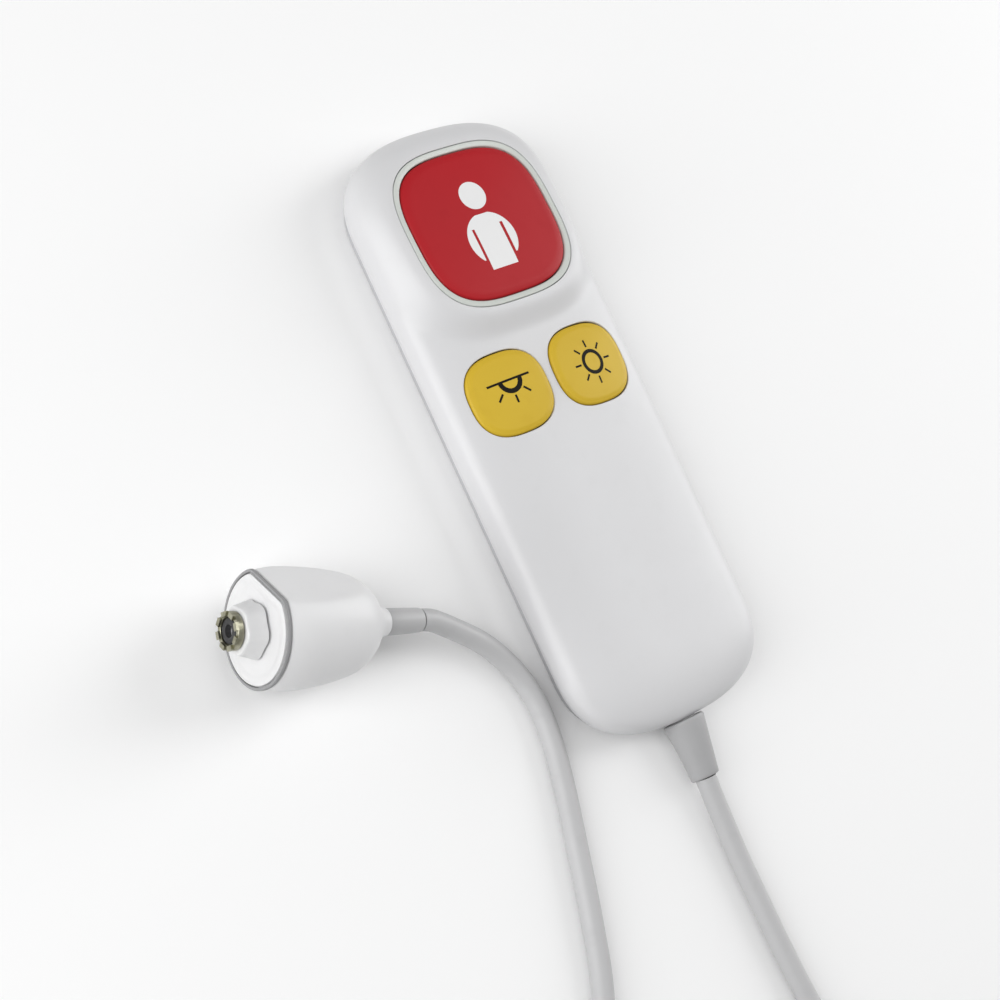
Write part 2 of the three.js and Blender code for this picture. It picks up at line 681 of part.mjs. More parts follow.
function cableRun(route, steps) {
  const section = [];
  for (let i = 0; i < CABLE_SIDES; i += 1) {
    const turn = (2 * Math.PI * i) / CABLE_SIDES;
    section.push(new THREE.Vector2((CABLE / 2) * Math.cos(turn), (CABLE / 2) * Math.sin(turn)));
  }
  const path = new THREE.CatmullRomCurve3(route.map((point) => new THREE.Vector3(...point)));
  return solid(new THREE.ExtrudeGeometry(new THREE.Shape(section), { steps, extrudePath: path }));
}

const coilHalf = (COIL_COLUMNS * COIL_TURN) / 2;
const coilInner = COIL_MIDDLE - coilHalf;
const coilOuter = COIL_MIDDLE + coilHalf;
const coilTop = COIL_Z + COIL_ROWS * COIL_TURN;

function cableCoil() {
  const edge = 0.8;
  const points = [
    [coilInner + edge, COIL_Z], [coilOuter - edge, COIL_Z], [coilOuter, COIL_Z + edge],
    [coilOuter, coilTop - edge], [coilOuter - edge, coilTop], [coilInner + edge, coilTop],
    [coilInner, coilTop - edge], [coilInner, COIL_Z + edge], [coilInner + edge, COIL_Z],
  ].map(([radius, z]) => new THREE.Vector2(radius, z));
  const geometry = new THREE.LatheGeometry(points, 40);
  geometry.rotateX(Math.PI / 2);
  geometry.translate(COIL_X, COIL_Y, 0);
  return solid(geometry);
}

// Strap around the coil's bundle.
function coilTie() {
  const far = coilOuter + SEAT;
  const near = Math.hypot(coilInner, TIE_WIDTH / 2) - SEAT - TIE_WIDTH ** 2 / (4 * coilInner);
  const reach = far - near;
  const middleY = COIL_Y - (far + near) / 2;
  const top = coilTop + SEAT + TIE_THICK;
  const outer = box(TIE_WIDTH, reach + 2 * TIE_THICK, top, COIL_X, middleY, top / 2);
  const innerHeight = top - 2 * TIE_THICK;
  return outer.subtract(box(TIE_WIDTH + 2, reach, innerHeight, COIL_X, middleY, TIE_THICK + innerHeight / 2));
}

// The plug's section: a circle with one flat, as a prism along X.
function flatted(radius, flatAt, low, high) {
  const disc = turned([[low, 0], [low, radius], [high, radius], [high, 0]], 40);
  return disc.subtract(flatCut(flatAt));
}

function flatCut(flatAt) {
  return box(80, 40, 40, -20, 20 + flatAt, 0).rotate([PLUG_FLAT_ANGLE, 0, 0]);
}

function plugBody() {
  const skin = PLUG_PROFILE.map(([along, extra]) => [along, PLUG_FACE + extra]);
  const [front, tail] = [skin[0][0], skin[skin.length - 1][0]];
  const body = turned([[front, 0], ...skin, [tail, 0]], 40);
  return body.subtract(flatCut(PLUG_FACE * PLUG_FLAT_AT));
}

function plugFace() {
  const radius = PLUG_FACE - GASKET_WIDTH - SEAT + 0.1;
  return flatted(radius, PLUG_FACE * PLUG_FLAT_AT - GASKET_WIDTH - SEAT + 0.1, -FACE_THICK, 0);
}

function plugGasket() {
  const outer = PLUG_FACE + GASKET_STEP;
  const inner = PLUG_FACE - GASKET_WIDTH + 0.1;
  const flatAt = PLUG_FACE * PLUG_FLAT_AT;
  return cut(
    flatted(outer, flatAt + GASKET_STEP, -FACE_THICK, -0.1),
    flatted(inner, flatAt - GASKET_WIDTH + 0.1, -FACE_THICK - 1, 1),
  );
}

// Six-sided boss with full corners, tapering towards the contacts.
function plugNose() {
  const ring = (radius, along) => {
    const points = [];
    for (let i = 0; i < 36; i += 1) {
      const turn = (2 * Math.PI * i) / 36;
      const reach = radius * (1 + 0.045 * Math.cos(NOSE_LOBES * turn));
      points.push(new THREE.Vector3(along, reach * Math.cos(turn), reach * Math.sin(turn)));
    }
    return points;
  };
  return loft([
    ring(NOSE_BASE, SEAT), ring(NOSE_BASE - 0.2, 1), ring(NOSE_TIP + 0.5, NOSE_LENGTH - 0.4),
    ring(NOSE_TIP, NOSE_LENGTH),
  ]);
}

function contactCarrier() {
  const start = NOSE_LENGTH + SEAT;
  const end = start + CONTACT_LENGTH - 0.5;
  return turned([
    [start, CARRIER_INNER], [end, CARRIER_INNER], [end, CARRIER_OUTER], [start, CARRIER_OUTER],
    [start, CARRIER_INNER],
  ], 20);
}

function contactRing() {
  const start = NOSE_LENGTH + SEAT;
  const end = start + CONTACT_LENGTH;
  let ring = turned([
    [start, CONTACT_INNER], [end, CONTACT_INNER], [end, CONTACT_OUTER], [start, CONTACT_OUTER],
    [start, CONTACT_INNER],
  ], 32);
  for (let i = 0; i < CONTACT_TEETH; i += 1) {
    const gap = box(1.2, 4, 1, end, CONTACT_OUTER, 0).rotate([(360 * i) / CONTACT_TEETH, 0, 0]);
    ring = ring.subtract(gap);
  }
  return ring;
}

function plugSleeve() {
  const start = PLUG_PROFILE[PLUG_PROFILE.length - 1][0] - SEAT;
  const end = start - SLEEVE_LENGTH;
  return turned([[start, 0], [start, SLEEVE_START], [end, SLEEVE_END], [end, 0]], 20);
}

const finishes = {
  shell: ['#e6e6e8', 0.38, 0],
  cover: ['#cfcfd2', 0.5, 0],
  seal: ['#9a9a9e', 0.8, 0],
  lens: ['#d4dad4', 0.25, 0],
  red: ['#b9202a', 0.4, 0],
  yellow: ['#d7bc3c', 0.4, 0],
  board: ['#1f5a36', 0.55, 0],
  black: ['#232325', 0.6, 0],
  lamp: ['#efe9c9', 0.3, 0],
  steel: ['#b9bbc0', 0.35, 0.9],
  cable: ['#d6d6d8', 0.5, 0],
  strap: ['#2d2d30', 0.9, 0],
  brass: ['#a8a57e', 0.35, 0.8],
};

function named(name, body, finish) {
  const [color, roughness, metalness] = finishes[finish];
  const material = new THREE.MeshStandardMaterial({ color, roughness, metalness });
  const mesh = new THREE.Mesh(geometryOf(body), material);
  mesh.name = name;
  return mesh;
}

function handset() {
  const group = new THREE.Group();
  const buttons = { call: callSpec, reading_light: lightSpec(-1), room_light: lightSpec(1) };
  group.add(named('front_shell', frontShell(), 'shell'));
  group.add(named('rear_cover', rearCover(), 'cover'));
  group.add(named('shell_gasket', shellGasket(), 'seal'));
  group.add(named('call_light_ring', callLightRing(), 'lens'));
  for (const [key, spec] of Object.entries(buttons)) {
    group.add(named(`${key}_button`, buttonCap(spec), key === 'call' ? 'red' : 'yellow'));
    group.add(named(`${key}_switch`, switchBody(spec), 'black'));
    group.add(named(`${key}_plunger`, switchPlunger(spec), 'steel'));
  }
  group.add(named('circuit_board', circuitBoard(), 'board'));
  for (const [side, word] of [[-1, 'left'], [1, 'right']]) {
    const x = side * (CALL_HALF_X + SLIDE + LIGHT_RING_WIDTH / 2);
    const lamp = box(...LAMP_SIZE, x, CALL_Y, boardTop + LAMP_SIZE[2] / 2);
    group.add(named(`call_lamp_${word}`, lamp, 'lamp'));
  }
  const header = box(...HEADER_SIZE, 0, HEADER_Y, boardTop + HEADER_SIZE[2] / 2);
  group.add(named('cable_header', header, 'black'));
  group.add(named('signal_wires', signalWires(), 'black'));
  group.add(named('inner_cable', innerCable(), 'cable'));
  group.add(named('cable_clamp', cableClamp(), 'steel'));
  HOUSING_SCREW_SPOTS.forEach(([x, y], i) => {
    const headZ = CUP_BORE_DEPTH - SEAT - HEAD_HEIGHT;
    group.add(named(`housing_screw_${i + 1}`, screw(x, y, headZ, 1), 'steel'));
  });
  BOARD_SCREW_SPOTS.forEach(([x, y], i) => {
    group.add(named(`board_screw_${i + 1}`, screw(x, y, BOARD_Z - SEAT - HEAD_HEIGHT, 1), 'steel'));
  });
  CLAMP_SCREW_SPOTS.forEach(([x, y], i) => {
    const headZ = clampBarZ + CLAMP_SIZE[2] + SEAT + HEAD_HEIGHT;
    group.add(named(`clamp_screw_${i + 1}`, screw(x, y, headZ, -1), 'steel'));
  });
  return group;
}

function cord() {
  const group = new THREE.Group();
  group.add(named('handset_boot', handsetBoot(), 'cable'));
  group.add(named('cable_handset_side', cableRun(HANDSET_ROUTE, 10), 'cable'));
  group.add(named('cable_coil', cableCoil(), 'cable'));
  group.add(named('coil_tie', coilTie(), 'strap'));
  group.add(named('cable_plug_side', cableRun(PLUG_ROUTE, 26), 'cable'));
  return group;
}

function plug() {
  const group = new THREE.Group();
  group.add(named('plug_body', plugBody(), 'cable'));
  group.add(named('plug_gasket', plugGasket(), 'seal'));
  group.add(named('plug_face', plugFace(), 'shell'));
  group.add(named('plug_nose', plugNose(), 'cable'));
  group.add(named('contact_carrier', contactCarrier(), 'black'));
  group.add(named('contact_ring', contactRing(), 'brass'));
  group.add(named('plug_sleeve', plugSleeve(), 'cable'));
  const [heading, pitch] = [PLUG_HEADING, PLUG_PITCH].map(THREE.MathUtils.degToRad);
  group.rotation.set(0, -pitch, heading, 'ZYX');
  group.position.set(PLUG_X, PLUG_Y, PLUG_Z);
  return group;
}

const unit = new THREE.Group();
unit.add(handset(), cord(), plug());
export default unit;
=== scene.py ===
"""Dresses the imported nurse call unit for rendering: handset, push buttons, cable and wall plug."""
import logging
import math
from dataclasses import dataclass, field
from enum import Enum
from typing import Callable, Iterable, Sequence

import bmesh
import bpy
from mathutils import Euler, Matrix, Vector


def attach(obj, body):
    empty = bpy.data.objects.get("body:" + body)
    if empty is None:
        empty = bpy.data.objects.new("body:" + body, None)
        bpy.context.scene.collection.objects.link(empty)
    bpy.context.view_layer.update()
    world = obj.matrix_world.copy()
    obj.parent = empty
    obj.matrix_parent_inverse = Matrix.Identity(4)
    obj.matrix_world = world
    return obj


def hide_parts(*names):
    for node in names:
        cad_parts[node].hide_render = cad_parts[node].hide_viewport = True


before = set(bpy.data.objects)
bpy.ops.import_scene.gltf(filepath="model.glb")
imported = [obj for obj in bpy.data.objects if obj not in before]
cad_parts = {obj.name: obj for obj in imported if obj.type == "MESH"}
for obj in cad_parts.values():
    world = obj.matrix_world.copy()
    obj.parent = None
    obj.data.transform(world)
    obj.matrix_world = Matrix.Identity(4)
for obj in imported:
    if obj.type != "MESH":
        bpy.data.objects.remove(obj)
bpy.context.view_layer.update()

LOG = logging.getLogger("nurse_call_unit")
MM = 0.001
ROOT = "unit"
NUMBER_SOCKET = "NodeSocketFloat"

Ring = list[Vector]
Mesh = tuple[list[Vector], list[tuple[int, ...]]]


# Shader groups


class ShaderGroup:
    """A shader node group with named inputs and outputs."""

    def __init__(self, name: str, inputs: dict[str, float], outputs: Sequence[str]) -> None:
        """Makes the empty group.

        Args:
            name: the group's name.
            inputs: socket names and default values.
            outputs: names of the number outputs.
        """
        self.tree = bpy.data.node_groups.new(name, "ShaderNodeTree")
        for key, value in inputs.items():
            socket = self.tree.interface.new_socket(key, in_out="INPUT", socket_type=NUMBER_SOCKET)
            socket.default_value = value
        for key in outputs:
            self.tree.interface.new_socket(key, in_out="OUTPUT", socket_type=NUMBER_SOCKET)
        self.start = self.tree.nodes.new("NodeGroupInput")
        self.end = self.tree.nodes.new("NodeGroupOutput")

    def place(self) -> bpy.types.NodeSocket:
        """Returns the piece's own coordinates."""
        return self.tree.nodes.new("ShaderNodeTexCoord").outputs["Object"]

    def noise(self, scale: float | bpy.types.NodeSocket, detail: float,
              where: bpy.types.NodeSocket) -> bpy.types.NodeSocket:
        """Adds a noise texture.

        Args:
            scale: its scale, a number or a socket.
            detail: octaves.
            where: the coordinates.

        Returns:
            The noise value's socket.
        """
        node = self.tree.nodes.new("ShaderNodeTexNoise")
        node.inputs["Detail"].default_value = detail
        self.tree.links.new(where, node.inputs["Vector"])
        if isinstance(scale, bpy.types.NodeSocket):
            self.tree.links.new(scale, node.inputs["Scale"])
        else:
            node.inputs["Scale"].default_value = scale
        return node.outputs["Fac"]

    def sum(self, operation: str, *values: float | bpy.types.NodeSocket) -> bpy.types.NodeSocket:
        """Adds a Math node.

        Args:
            operation: the node's operation.
            values: numbers or sockets for its inputs.

        Returns:
            The result's socket.
        """
        node = self.tree.nodes.new("ShaderNodeMath")
        node.operation = operation
        for socket, value in zip(node.inputs, values):
            if isinstance(value, bpy.types.NodeSocket):
                self.tree.links.new(value, socket)
            else:
                socket.default_value = value
        return node.outputs[0]

    def ramp(self, value: bpy.types.NodeSocket, low: float, high: float) -> bpy.types.NodeSocket:
        """Maps a value between two limits to 0..1, smoothly.

        Args:
            value: the socket to map.
            low: what gives 0.
            high: what gives 1.

        Returns:
            The mapped value's socket.
        """
        node = self.tree.nodes.new("ShaderNodeMapRange")
        node.interpolation_type = "SMOOTHSTEP"
        node.inputs["From Min"].default_value = low
        node.inputs["From Max"].default_value = high
        self.tree.links.new(value, node.inputs["Value"])
        return node.outputs["Result"]

    def give(self, name: str, value: bpy.types.NodeSocket) -> None:
        """Links a value to the group's named output."""
        self.tree.links.new(value, self.end.inputs[name])


def moulded_group() -> bpy.types.ShaderNodeTree:
    """Spark-eroded moulding grain with faint handling marks.

    Returns:
        The group, with Height, Roughness and Tint outputs.
    """
    group = ShaderGroup(
        "Moulded surface",
        {"Grain Scale": 3000.0, "Base Roughness": 0.4, "Roughness Spread": 0.06},
        ("Height", "Roughness", "Tint"),
    )
    where = group.place()
    grain = group.noise(group.start.outputs["Grain Scale"], 2.0, where)
    waves = group.noise(90.0, 2.0, where)
    marks = group.ramp(group.noise(260.0, 4.0, where), 0.52, 0.78)
    cloudy = group.ramp(group.noise(38.0, 3.0, where), 0.3, 0.7)
    group.give("Height", group.sum("MULTIPLY_ADD", waves, 0.6, grain))
    spread = group.sum("MULTIPLY", group.sum("ADD", marks, cloudy), group.start.outputs["Roughness Spread"])
    group.give("Roughness", group.sum("ADD", group.start.outputs["Base Roughness"], spread))
    group.give("Tint", group.sum("MULTIPLY_ADD", marks, 0.4, group.sum("MULTIPLY", cloudy, 0.6)))
    return group.tree


def brushed_group() -> bpy.types.ShaderNodeTree:
    """Fine turned lines and dulled patches of a machined metal part.

    Returns:
        The group, with Height, Roughness and Tint outputs.
    """
    group = ShaderGroup(
        "Turned metal",
        {"Grain Scale": 4000.0, "Base Roughness": 0.3, "Roughness Spread": 0.15},
        ("Height", "Roughness", "Tint"),
    )
    where = group.place()
    lines = group.noise(group.start.outputs["Grain Scale"], 3.0, where)
    dull = group.ramp(group.noise(420.0, 4.0, where), 0.4, 0.7)
    group.give("Height", lines)
    spread = group.sum("MULTIPLY", dull, group.start.outputs["Roughness Spread"])
    group.give("Roughness", group.sum("ADD", group.start.outputs["Base Roughness"], spread))
    group.give("Tint", dull)
    return group.tree


def woven_group() -> bpy.types.ShaderNodeTree:
    """Crossing threads of a woven strap.

    Returns:
        The group, with Height, Roughness and Tint outputs.
    """
    group = ShaderGroup(
        "Woven strap",
        {"Grain Scale": 9000.0, "Base Roughness": 0.8, "Roughness Spread": 0.1},
        ("Height", "Roughness", "Tint"),
    )
    split = group.tree.nodes.new("ShaderNodeSeparateXYZ")
    group.tree.links.new(group.place(), split.inputs[0])
    scale = group.start.outputs["Grain Scale"]
    threads = [group.sum("SINE", group.sum("MULTIPLY", split.outputs[axis], scale)) for axis in range(3)]
    cloth = group.sum("MULTIPLY", threads[0], group.sum("ADD", threads[1], threads[2]))
    fuzz = group.noise(2500.0, 3.0, group.place())
    group.give("Height", group.sum("MULTIPLY_ADD", fuzz, 0.8, cloth))
    spread = group.sum("MULTIPLY", fuzz, group.start.outputs["Roughness Spread"])
    group.give("Roughness", group.sum("ADD", group.start.outputs["Base Roughness"], spread))
    group.give("Tint", group.ramp(cloth, -0.5, 1.0))
    return group.tree


class Surface(Enum):
    """The surface patterns that finishes are made from."""

    MOULDED = "moulded"
    TURNED = "turned"
    WOVEN = "woven"


GROUPS: dict[Surface, bpy.types.ShaderNodeTree] = {
    Surface.MOULDED: moulded_group(),
    Surface.TURNED: brushed_group(),
    Surface.WOVEN: woven_group(),
}


@dataclass(frozen=True)
class Finish:
    """One procedural material."""

    name: str
    color: tuple[float, float, float]
    worn: tuple[float, float, float]
    roughness: float
    surface: Surface = Surface.MOULDED
    grain: float = 3000.0
    bump: float = 0.12
    depth_mm: float = 0.03
    spread: float = 0.05
    metallic: float = 0.0
    coat: float = 0.0
    transmission: float = 0.0
    subsurface: float = 0.0
    sheen: float = 0.0
    specular: float = 0.5

    def make(self) -> bpy.types.Material:
        """Builds the material.

        Returns:
            The material, built once and shared by the pieces that use it.
        """
        if self.name in bpy.data.materials:
            return bpy.data.materials[self.name]
        material = bpy.data.materials.new(self.name)
        material.use_nodes = True
        tree = material.node_tree
        shader = tree.nodes["Principled BSDF"]
        pattern = tree.nodes.new("ShaderNodeGroup")
        pattern.node_tree = GROUPS[self.surface]
        pattern.inputs["Grain Scale"].default_value = self.grain
        pattern.inputs["Base Roughness"].default_value = self.roughness
        pattern.inputs["Roughness Spread"].default_value = self.spread
        tint = tree.nodes.new("ShaderNodeMix")
        tint.data_type = "RGBA"
        tint.inputs["A"].default_value = (*self.color, 1.0)
        tint.inputs["B"].default_value = (*self.worn, 1.0)
        bump = tree.nodes.new("ShaderNodeBump")
        bump.inputs["Strength"].default_value = self.bump
        bump.inputs["Distance"].default_value = self.depth_mm * MM
        tree.links.new(pattern.outputs["Tint"], tint.inputs["Factor"])
        tree.links.new(tint.outputs["Result"], shader.inputs["Base Color"])
        tree.links.new(pattern.outputs["Roughness"], shader.inputs["Roughness"])
        tree.links.new(pattern.outputs["Height"], bump.inputs["Height"])
        tree.links.new(bump.outputs["Normal"], shader.inputs["Normal"])
        shader.inputs["Metallic"].default_value = self.metallic
        shader.inputs["Coat Weight"].default_value = self.coat
        shader.inputs["Coat Roughness"].default_value = 0.3
        shader.inputs["Transmission Weight"].default_value = self.transmission
        shader.inputs["Subsurface Weight"].default_value = self.subsurface
        shader.inputs["Subsurface Radius"].default_value = (0.002, 0.0015, 0.001)
        shader.inputs["Sheen Weight"].default_value = self.sheen
        shader.inputs["Specular IOR Level"].default_value = self.specular
        return material


WHITE_SHELL = Finish("white shell", (0.66, 0.66, 0.67), (0.64, 0.64, 0.648), 0.36)
GREY_COVER = Finish("grey rear cover", (0.47, 0.47, 0.485), (0.44, 0.44, 0.45), 0.45, bump=0.2)
RED_CAP = Finish("red cap", (0.43, 0.011, 0.017), (0.395, 0.01, 0.015), 0.44, spread=0.06, specular=0.22)
YELLOW_CAP = Finish("yellow cap", (0.63, 0.43, 0.032), (0.59, 0.39, 0.028), 0.44, spread=0.06, specular=0.22)
WHITE_PRINT = Finish("white print", (0.82, 0.82, 0.82), (0.78, 0.78, 0.78), 0.42, bump=0.06)
DARK_PRINT = Finish("dark print", (0.006, 0.005, 0.003), (0.012, 0.009, 0.005), 0.55, bump=0.06,
                    specular=0.12)
LIGHT_GUIDE = Finish("light guide", (0.68, 0.71, 0.67), (0.63, 0.66, 0.62), 0.3, transmission=0.1)
CABLE_JACKET = Finish("cable jacket", (0.50, 0.50, 0.505), (0.46, 0.46, 0.465), 0.42, grain=2200.0, bump=0.16)
BOOT_RUBBER = Finish("boot rubber", (0.4, 0.4, 0.405), (0.37, 0.37, 0.375), 0.5, grain=2600.0, bump=0.18)
PLUG_SHELL = Finish("plug shell", (0.76, 0.76, 0.765), (0.73, 0.73, 0.735), 0.4, spread=0.05)
PLUG_FACE = Finish("plug face", (0.70, 0.70, 0.705), (0.66, 0.66, 0.66), 0.38)
GREY_SEAL = Finish("grey seal", (0.27, 0.27, 0.275), (0.31, 0.31, 0.315), 0.7, bump=0.25)
BLACK_PLASTIC = Finish("black plastic", (0.02, 0.02, 0.021), (0.035, 0.035, 0.036), 0.5)
STRAP_CLOTH = Finish("strap cloth", (0.025, 0.025, 0.028), (0.05, 0.05, 0.055), 0.8, Surface.WOVEN, 9000.0,
                     0.6, 0.12, 0.1, sheen=0.4)
SCREW_STEEL = Finish("zinc steel", (0.55, 0.55, 0.56), (0.42, 0.42, 0.43), 0.3, Surface.TURNED, 4000.0, 0.15,
                     metallic=1.0)
CONTACT_METAL = Finish("contact metal", (0.42, 0.41, 0.31), (0.25, 0.24, 0.17), 0.28, Surface.TURNED, 5000.0,
                       0.15, spread=0.2, metallic=1.0)
BOARD_RESIN = Finish("board resin", (0.02, 0.12, 0.05), (0.03, 0.16, 0.07), 0.35, grain=900.0, bump=0.3)
LAMP_RESIN = Finish("lamp resin", (0.8, 0.78, 0.6), (0.76, 0.74, 0.56), 0.2, transmission=0.4)
WIRE_SLEEVE = Finish("wire sleeve", (0.12, 0.12, 0.13), (0.16, 0.16, 0.17), 0.45)
SOFT_SEAL = Finish("soft seal", (0.3, 0.3, 0.31), (0.34, 0.34, 0.35), 0.75, bump=0.2)


# Mesh helpers


def skin(rings: Sequence[Ring], closed: bool = False) -> Mesh:
    """Joins rings of equal length into a closed skin.

    Args:
        rings: rings of points in millimetres.
        closed: joins the last ring to the first instead of capping the ends.

    Returns:
        Points and faces.
    """
    count = len(rings[0])
    points = [point for ring in rings for point in ring]
    faces: list[tuple[int, ...]] = []
    for r in range(len(rings) if closed else len(rings) - 1):
        low, high = r * count, (r + 1) % len(rings) * count
        for i in range(count):
            j = (i + 1) % count
            faces.append((low + i, low + j, high + j, high + i))
    if not closed:
        faces.append(tuple(range(count - 1, -1, -1)))
        faces.append(tuple(range((len(rings) - 1) * count, len(rings) * count)))
    return points, faces


def combine(parts: Iterable[Mesh]) -> Mesh:
    """Puts several skins into one list of points and faces.

    Args:
        parts: the skins.

    Returns:
        Points and faces.
    """
    points: list[Vector] = []
    faces: list[tuple[int, ...]] = []
    for part_points, part_faces in parts:
        base = len(points)
        points += part_points
        faces += [tuple(base + i for i in face) for face in part_faces]
    return points, faces


def block(size: Sequence[float], middle: Sequence[float], edge: float = 0.15) -> Mesh:
    """A box with chamfered edges all round.

    Args:
        size: its three sizes.
        middle: its centre.
        edge: the chamfer.

    Returns:
        Points and faces.
    """
    half = [s / 2 for s in size]
    rings = []
    for z, inset in ((-half[2], edge), (-half[2] + edge, 0.0), (half[2] - edge, 0.0), (half[2], edge)):
        x, y, cut = half[0] - inset, half[1] - inset, edge
        corner = [(x, -y + cut), (x, y - cut), (x - cut, y), (-x + cut, y), (-x, y - cut), (-x, -y + cut),
                  (-x + cut, -y), (x - cut, -y)]
        rings.append([Vector((a + middle[0], b + middle[1], z + middle[2])) for a, b in corner])
    return skin(rings)


def turned(profile: Sequence[tuple[float, float]], sides: int = 64, closed: bool = False) -> Mesh:
    """A body turned about the X axis.

    Args:
        profile: pairs of place along X and radius.
        sides: points around.
        closed: the profile is a ring section, not a solid.

    Returns:
        Points and faces.
    """
    rings = []
    for along, radius in profile:
        turns = [2 * math.pi * i / sides for i in range(sides)]
        rings.append([Vector((along, radius * math.cos(a), radius * math.sin(a))) for a in turns])
    return skin(rings, closed)


def placed(mesh: Mesh, matrix: Matrix) -> Mesh:
    """Moves a mesh by a matrix in millimetres."""
    return [matrix @ point for point in mesh[0]], mesh[1]


def tidy(mesh: bpy.types.Mesh, sharp: float) -> None:
    """Merges doubles, points the faces outwards and sets smooth shading.

    Args:
        mesh: the mesh, changed in place.
        sharp: edges over this many degrees stay sharp.
    """
    work = bmesh.new()
    work.from_mesh(mesh)
    bmesh.ops.remove_doubles(work, verts=work.verts, dist=1e-7)
    bmesh.ops.dissolve_degenerate(work, dist=1e-8, edges=work.edges)
    bmesh.ops.recalc_face_normals(work, faces=work.faces)
    work.to_mesh(mesh)
    work.free()
    mesh.shade_smooth()
    mesh.set_sharp_from_angle(angle=math.radians(sharp))


def make_piece(name: str, mesh: Mesh, finish: Finish, sharp: float = 38.0) -> bpy.types.Object:
    """Makes an object whose place is in its mesh.

    Args:
        name: the piece's name.
        mesh: points in millimetres, and faces.
        finish: its material.
        sharp: edges over this many degrees stay sharp.

    Returns:
        The object, linked to the scene.
    """
    data = bpy.data.meshes.new(name)
    data.from_pydata([point * MM for point in mesh[0]], [], mesh[1])
    tidy(data, sharp)
    data.materials.append(finish.make())
    piece = bpy.data.objects.new(name, data)
    bpy.context.scene.collection.objects.link(piece)
    return piece


class Merge(Enum):
    """The ways to merge a helper solid into a piece."""

    CUT = "DIFFERENCE"
    JOIN = "UNION"


def merge(piece: bpy.types.Object, helper: bpy.types.Object, way: Merge, sharp: float = 38.0) -> None:
    """Cuts a helper solid out of a piece or joins it on, and removes the helper.

    Args:
        piece: the piece, changed in place.
        helper: the helper solid.
        way: cut or join.
        sharp: edges over this many degrees stay sharp.
    """
    modifier = piece.modifiers.new(helper.name, "BOOLEAN")
    modifier.operation = way.value
    modifier.solver = "EXACT"
    modifier.object = helper
    bake(piece, sharp)
    data = helper.data
    bpy.data.objects.remove(helper)
    bpy.data.meshes.remove(data)


def carve(piece: bpy.types.Object, cutters: Sequence[Mesh], sharp: float = 38.0) -> None:
    """Cuts solids out of a piece.

    Args:
        piece: the piece, changed in place.
        cutters: closed solids in millimetres.
        sharp: edges over this many degrees stay sharp.
    """
    for number, cutter in enumerate(cutters):
        merge(piece, make_piece(f"cutter_{number}", cutter, WHITE_SHELL), Merge.CUT, sharp)


def bake(piece: bpy.types.Object, sharp: float = 38.0) -> None:
    """Turns a piece's modifiers into plain mesh.

    Args:
        piece: the piece, changed in place.
        sharp: edges over this many degrees stay sharp.
    """
    graph = bpy.context.evaluated_depsgraph_get()
    graph.update()
    result = bpy.data.meshes.new_from_object(piece.evaluated_get(graph), depsgraph=graph)
    old = piece.data
    piece.modifiers.clear()
    piece.data = result
    result.name = piece.name
    if old.users == 0:
        bpy.data.meshes.remove(old)
    tidy(result, sharp)


class PatternTree:
    """A geometry node tree with named inputs."""

    def __init__(self, name: str, inputs: dict[str, float]) -> None:
        """Makes the tree with a geometry input and output.

        Args:
            name: the tree's name.
            inputs: size names and values, in metres or counts.
        """
        self.tree = bpy.data.node_groups.new(name, "GeometryNodeTree")
        face = self.tree.interface
        face.new_socket("Geometry", in_out="INPUT", socket_type="NodeSocketGeometry")
        face.new_socket("Geometry", in_out="OUTPUT", socket_type="NodeSocketGeometry")
        self.identifiers: dict[str, str] = {}
        self.values = inputs
        for key, value in inputs.items():
            kind = "NodeSocketInt" if isinstance(value, int) else "NodeSocketFloat"
            self.identifiers[key] = face.new_socket(key, in_out="INPUT", socket_type=kind).identifier
        self.start = self.tree.nodes.new("NodeGroupInput")
        self.end = self.tree.nodes.new("NodeGroupOutput")

    def node(self, kind: str, **values: object) -> bpy.types.Node:
        """Adds a node.

        Args:
            kind: the node's type.
            values: input name to a socket or value, with _ for spaces.

        Returns:
            The node.
        """
        node = self.tree.nodes.new(kind)
        for key, value in values.items():
            socket = node.inputs[key.replace("_", " ")]
            if isinstance(value, bpy.types.NodeSocket):
                self.tree.links.new(value, socket)
            else:
                socket.default_value = value
        return node

    def scaled(self, value: bpy.types.NodeSocket, factor: float, extra: float = 0.0) -> bpy.types.NodeSocket:
        """Scales a number and adds to it.

        Args:
            value: the number's socket.
            factor: what multiplies it.
            extra: what is added, in metres.

        Returns:
            The result's socket.
        """
        node = self.tree.nodes.new("ShaderNodeMath")
        node.operation = "MULTIPLY_ADD"
        self.tree.links.new(value, node.inputs[0])
        node.inputs[1].default_value = factor
        node.inputs[2].default_value = extra
        return node.outputs[0]

    def vector(self, x: object = 0.0, y: object = 0.0, z: object = 0.0) -> bpy.types.NodeSocket:
        """Returns a vector made of numbers or sockets."""
        return self.node("ShaderNodeCombineXYZ", X=x, Y=y, Z=z).outputs[0]

    def close(self, geometry: bpy.types.NodeSocket, finish: Finish) -> None:
        """Ends the tree in real geometry with its material.

        Args:
            geometry: what the tree gives.
            finish: its material.
        """
        real = self.node("GeometryNodeRealizeInstances", Geometry=geometry)
        painted = self.node("GeometryNodeSetMaterial", Geometry=real.outputs[0])
        painted.inputs["Material"].default_value = finish.make()
        self.tree.links.new(painted.outputs[0], self.end.inputs["Geometry"])

    def apply(self, piece: bpy.types.Object, sharp: float = 38.0) -> None:
        """Runs the tree on a piece and keeps the result as plain mesh.

        Args:
            piece: the piece, changed in place.
            sharp: edges over this many degrees stay sharp.
        """
        modifier = piece.modifiers.new(self.tree.name, "NODES")
        modifier.node_group = self.tree
        for key, identifier in self.identifiers.items():
            modifier[identifier] = self.values[key]
        bake(piece, sharp)


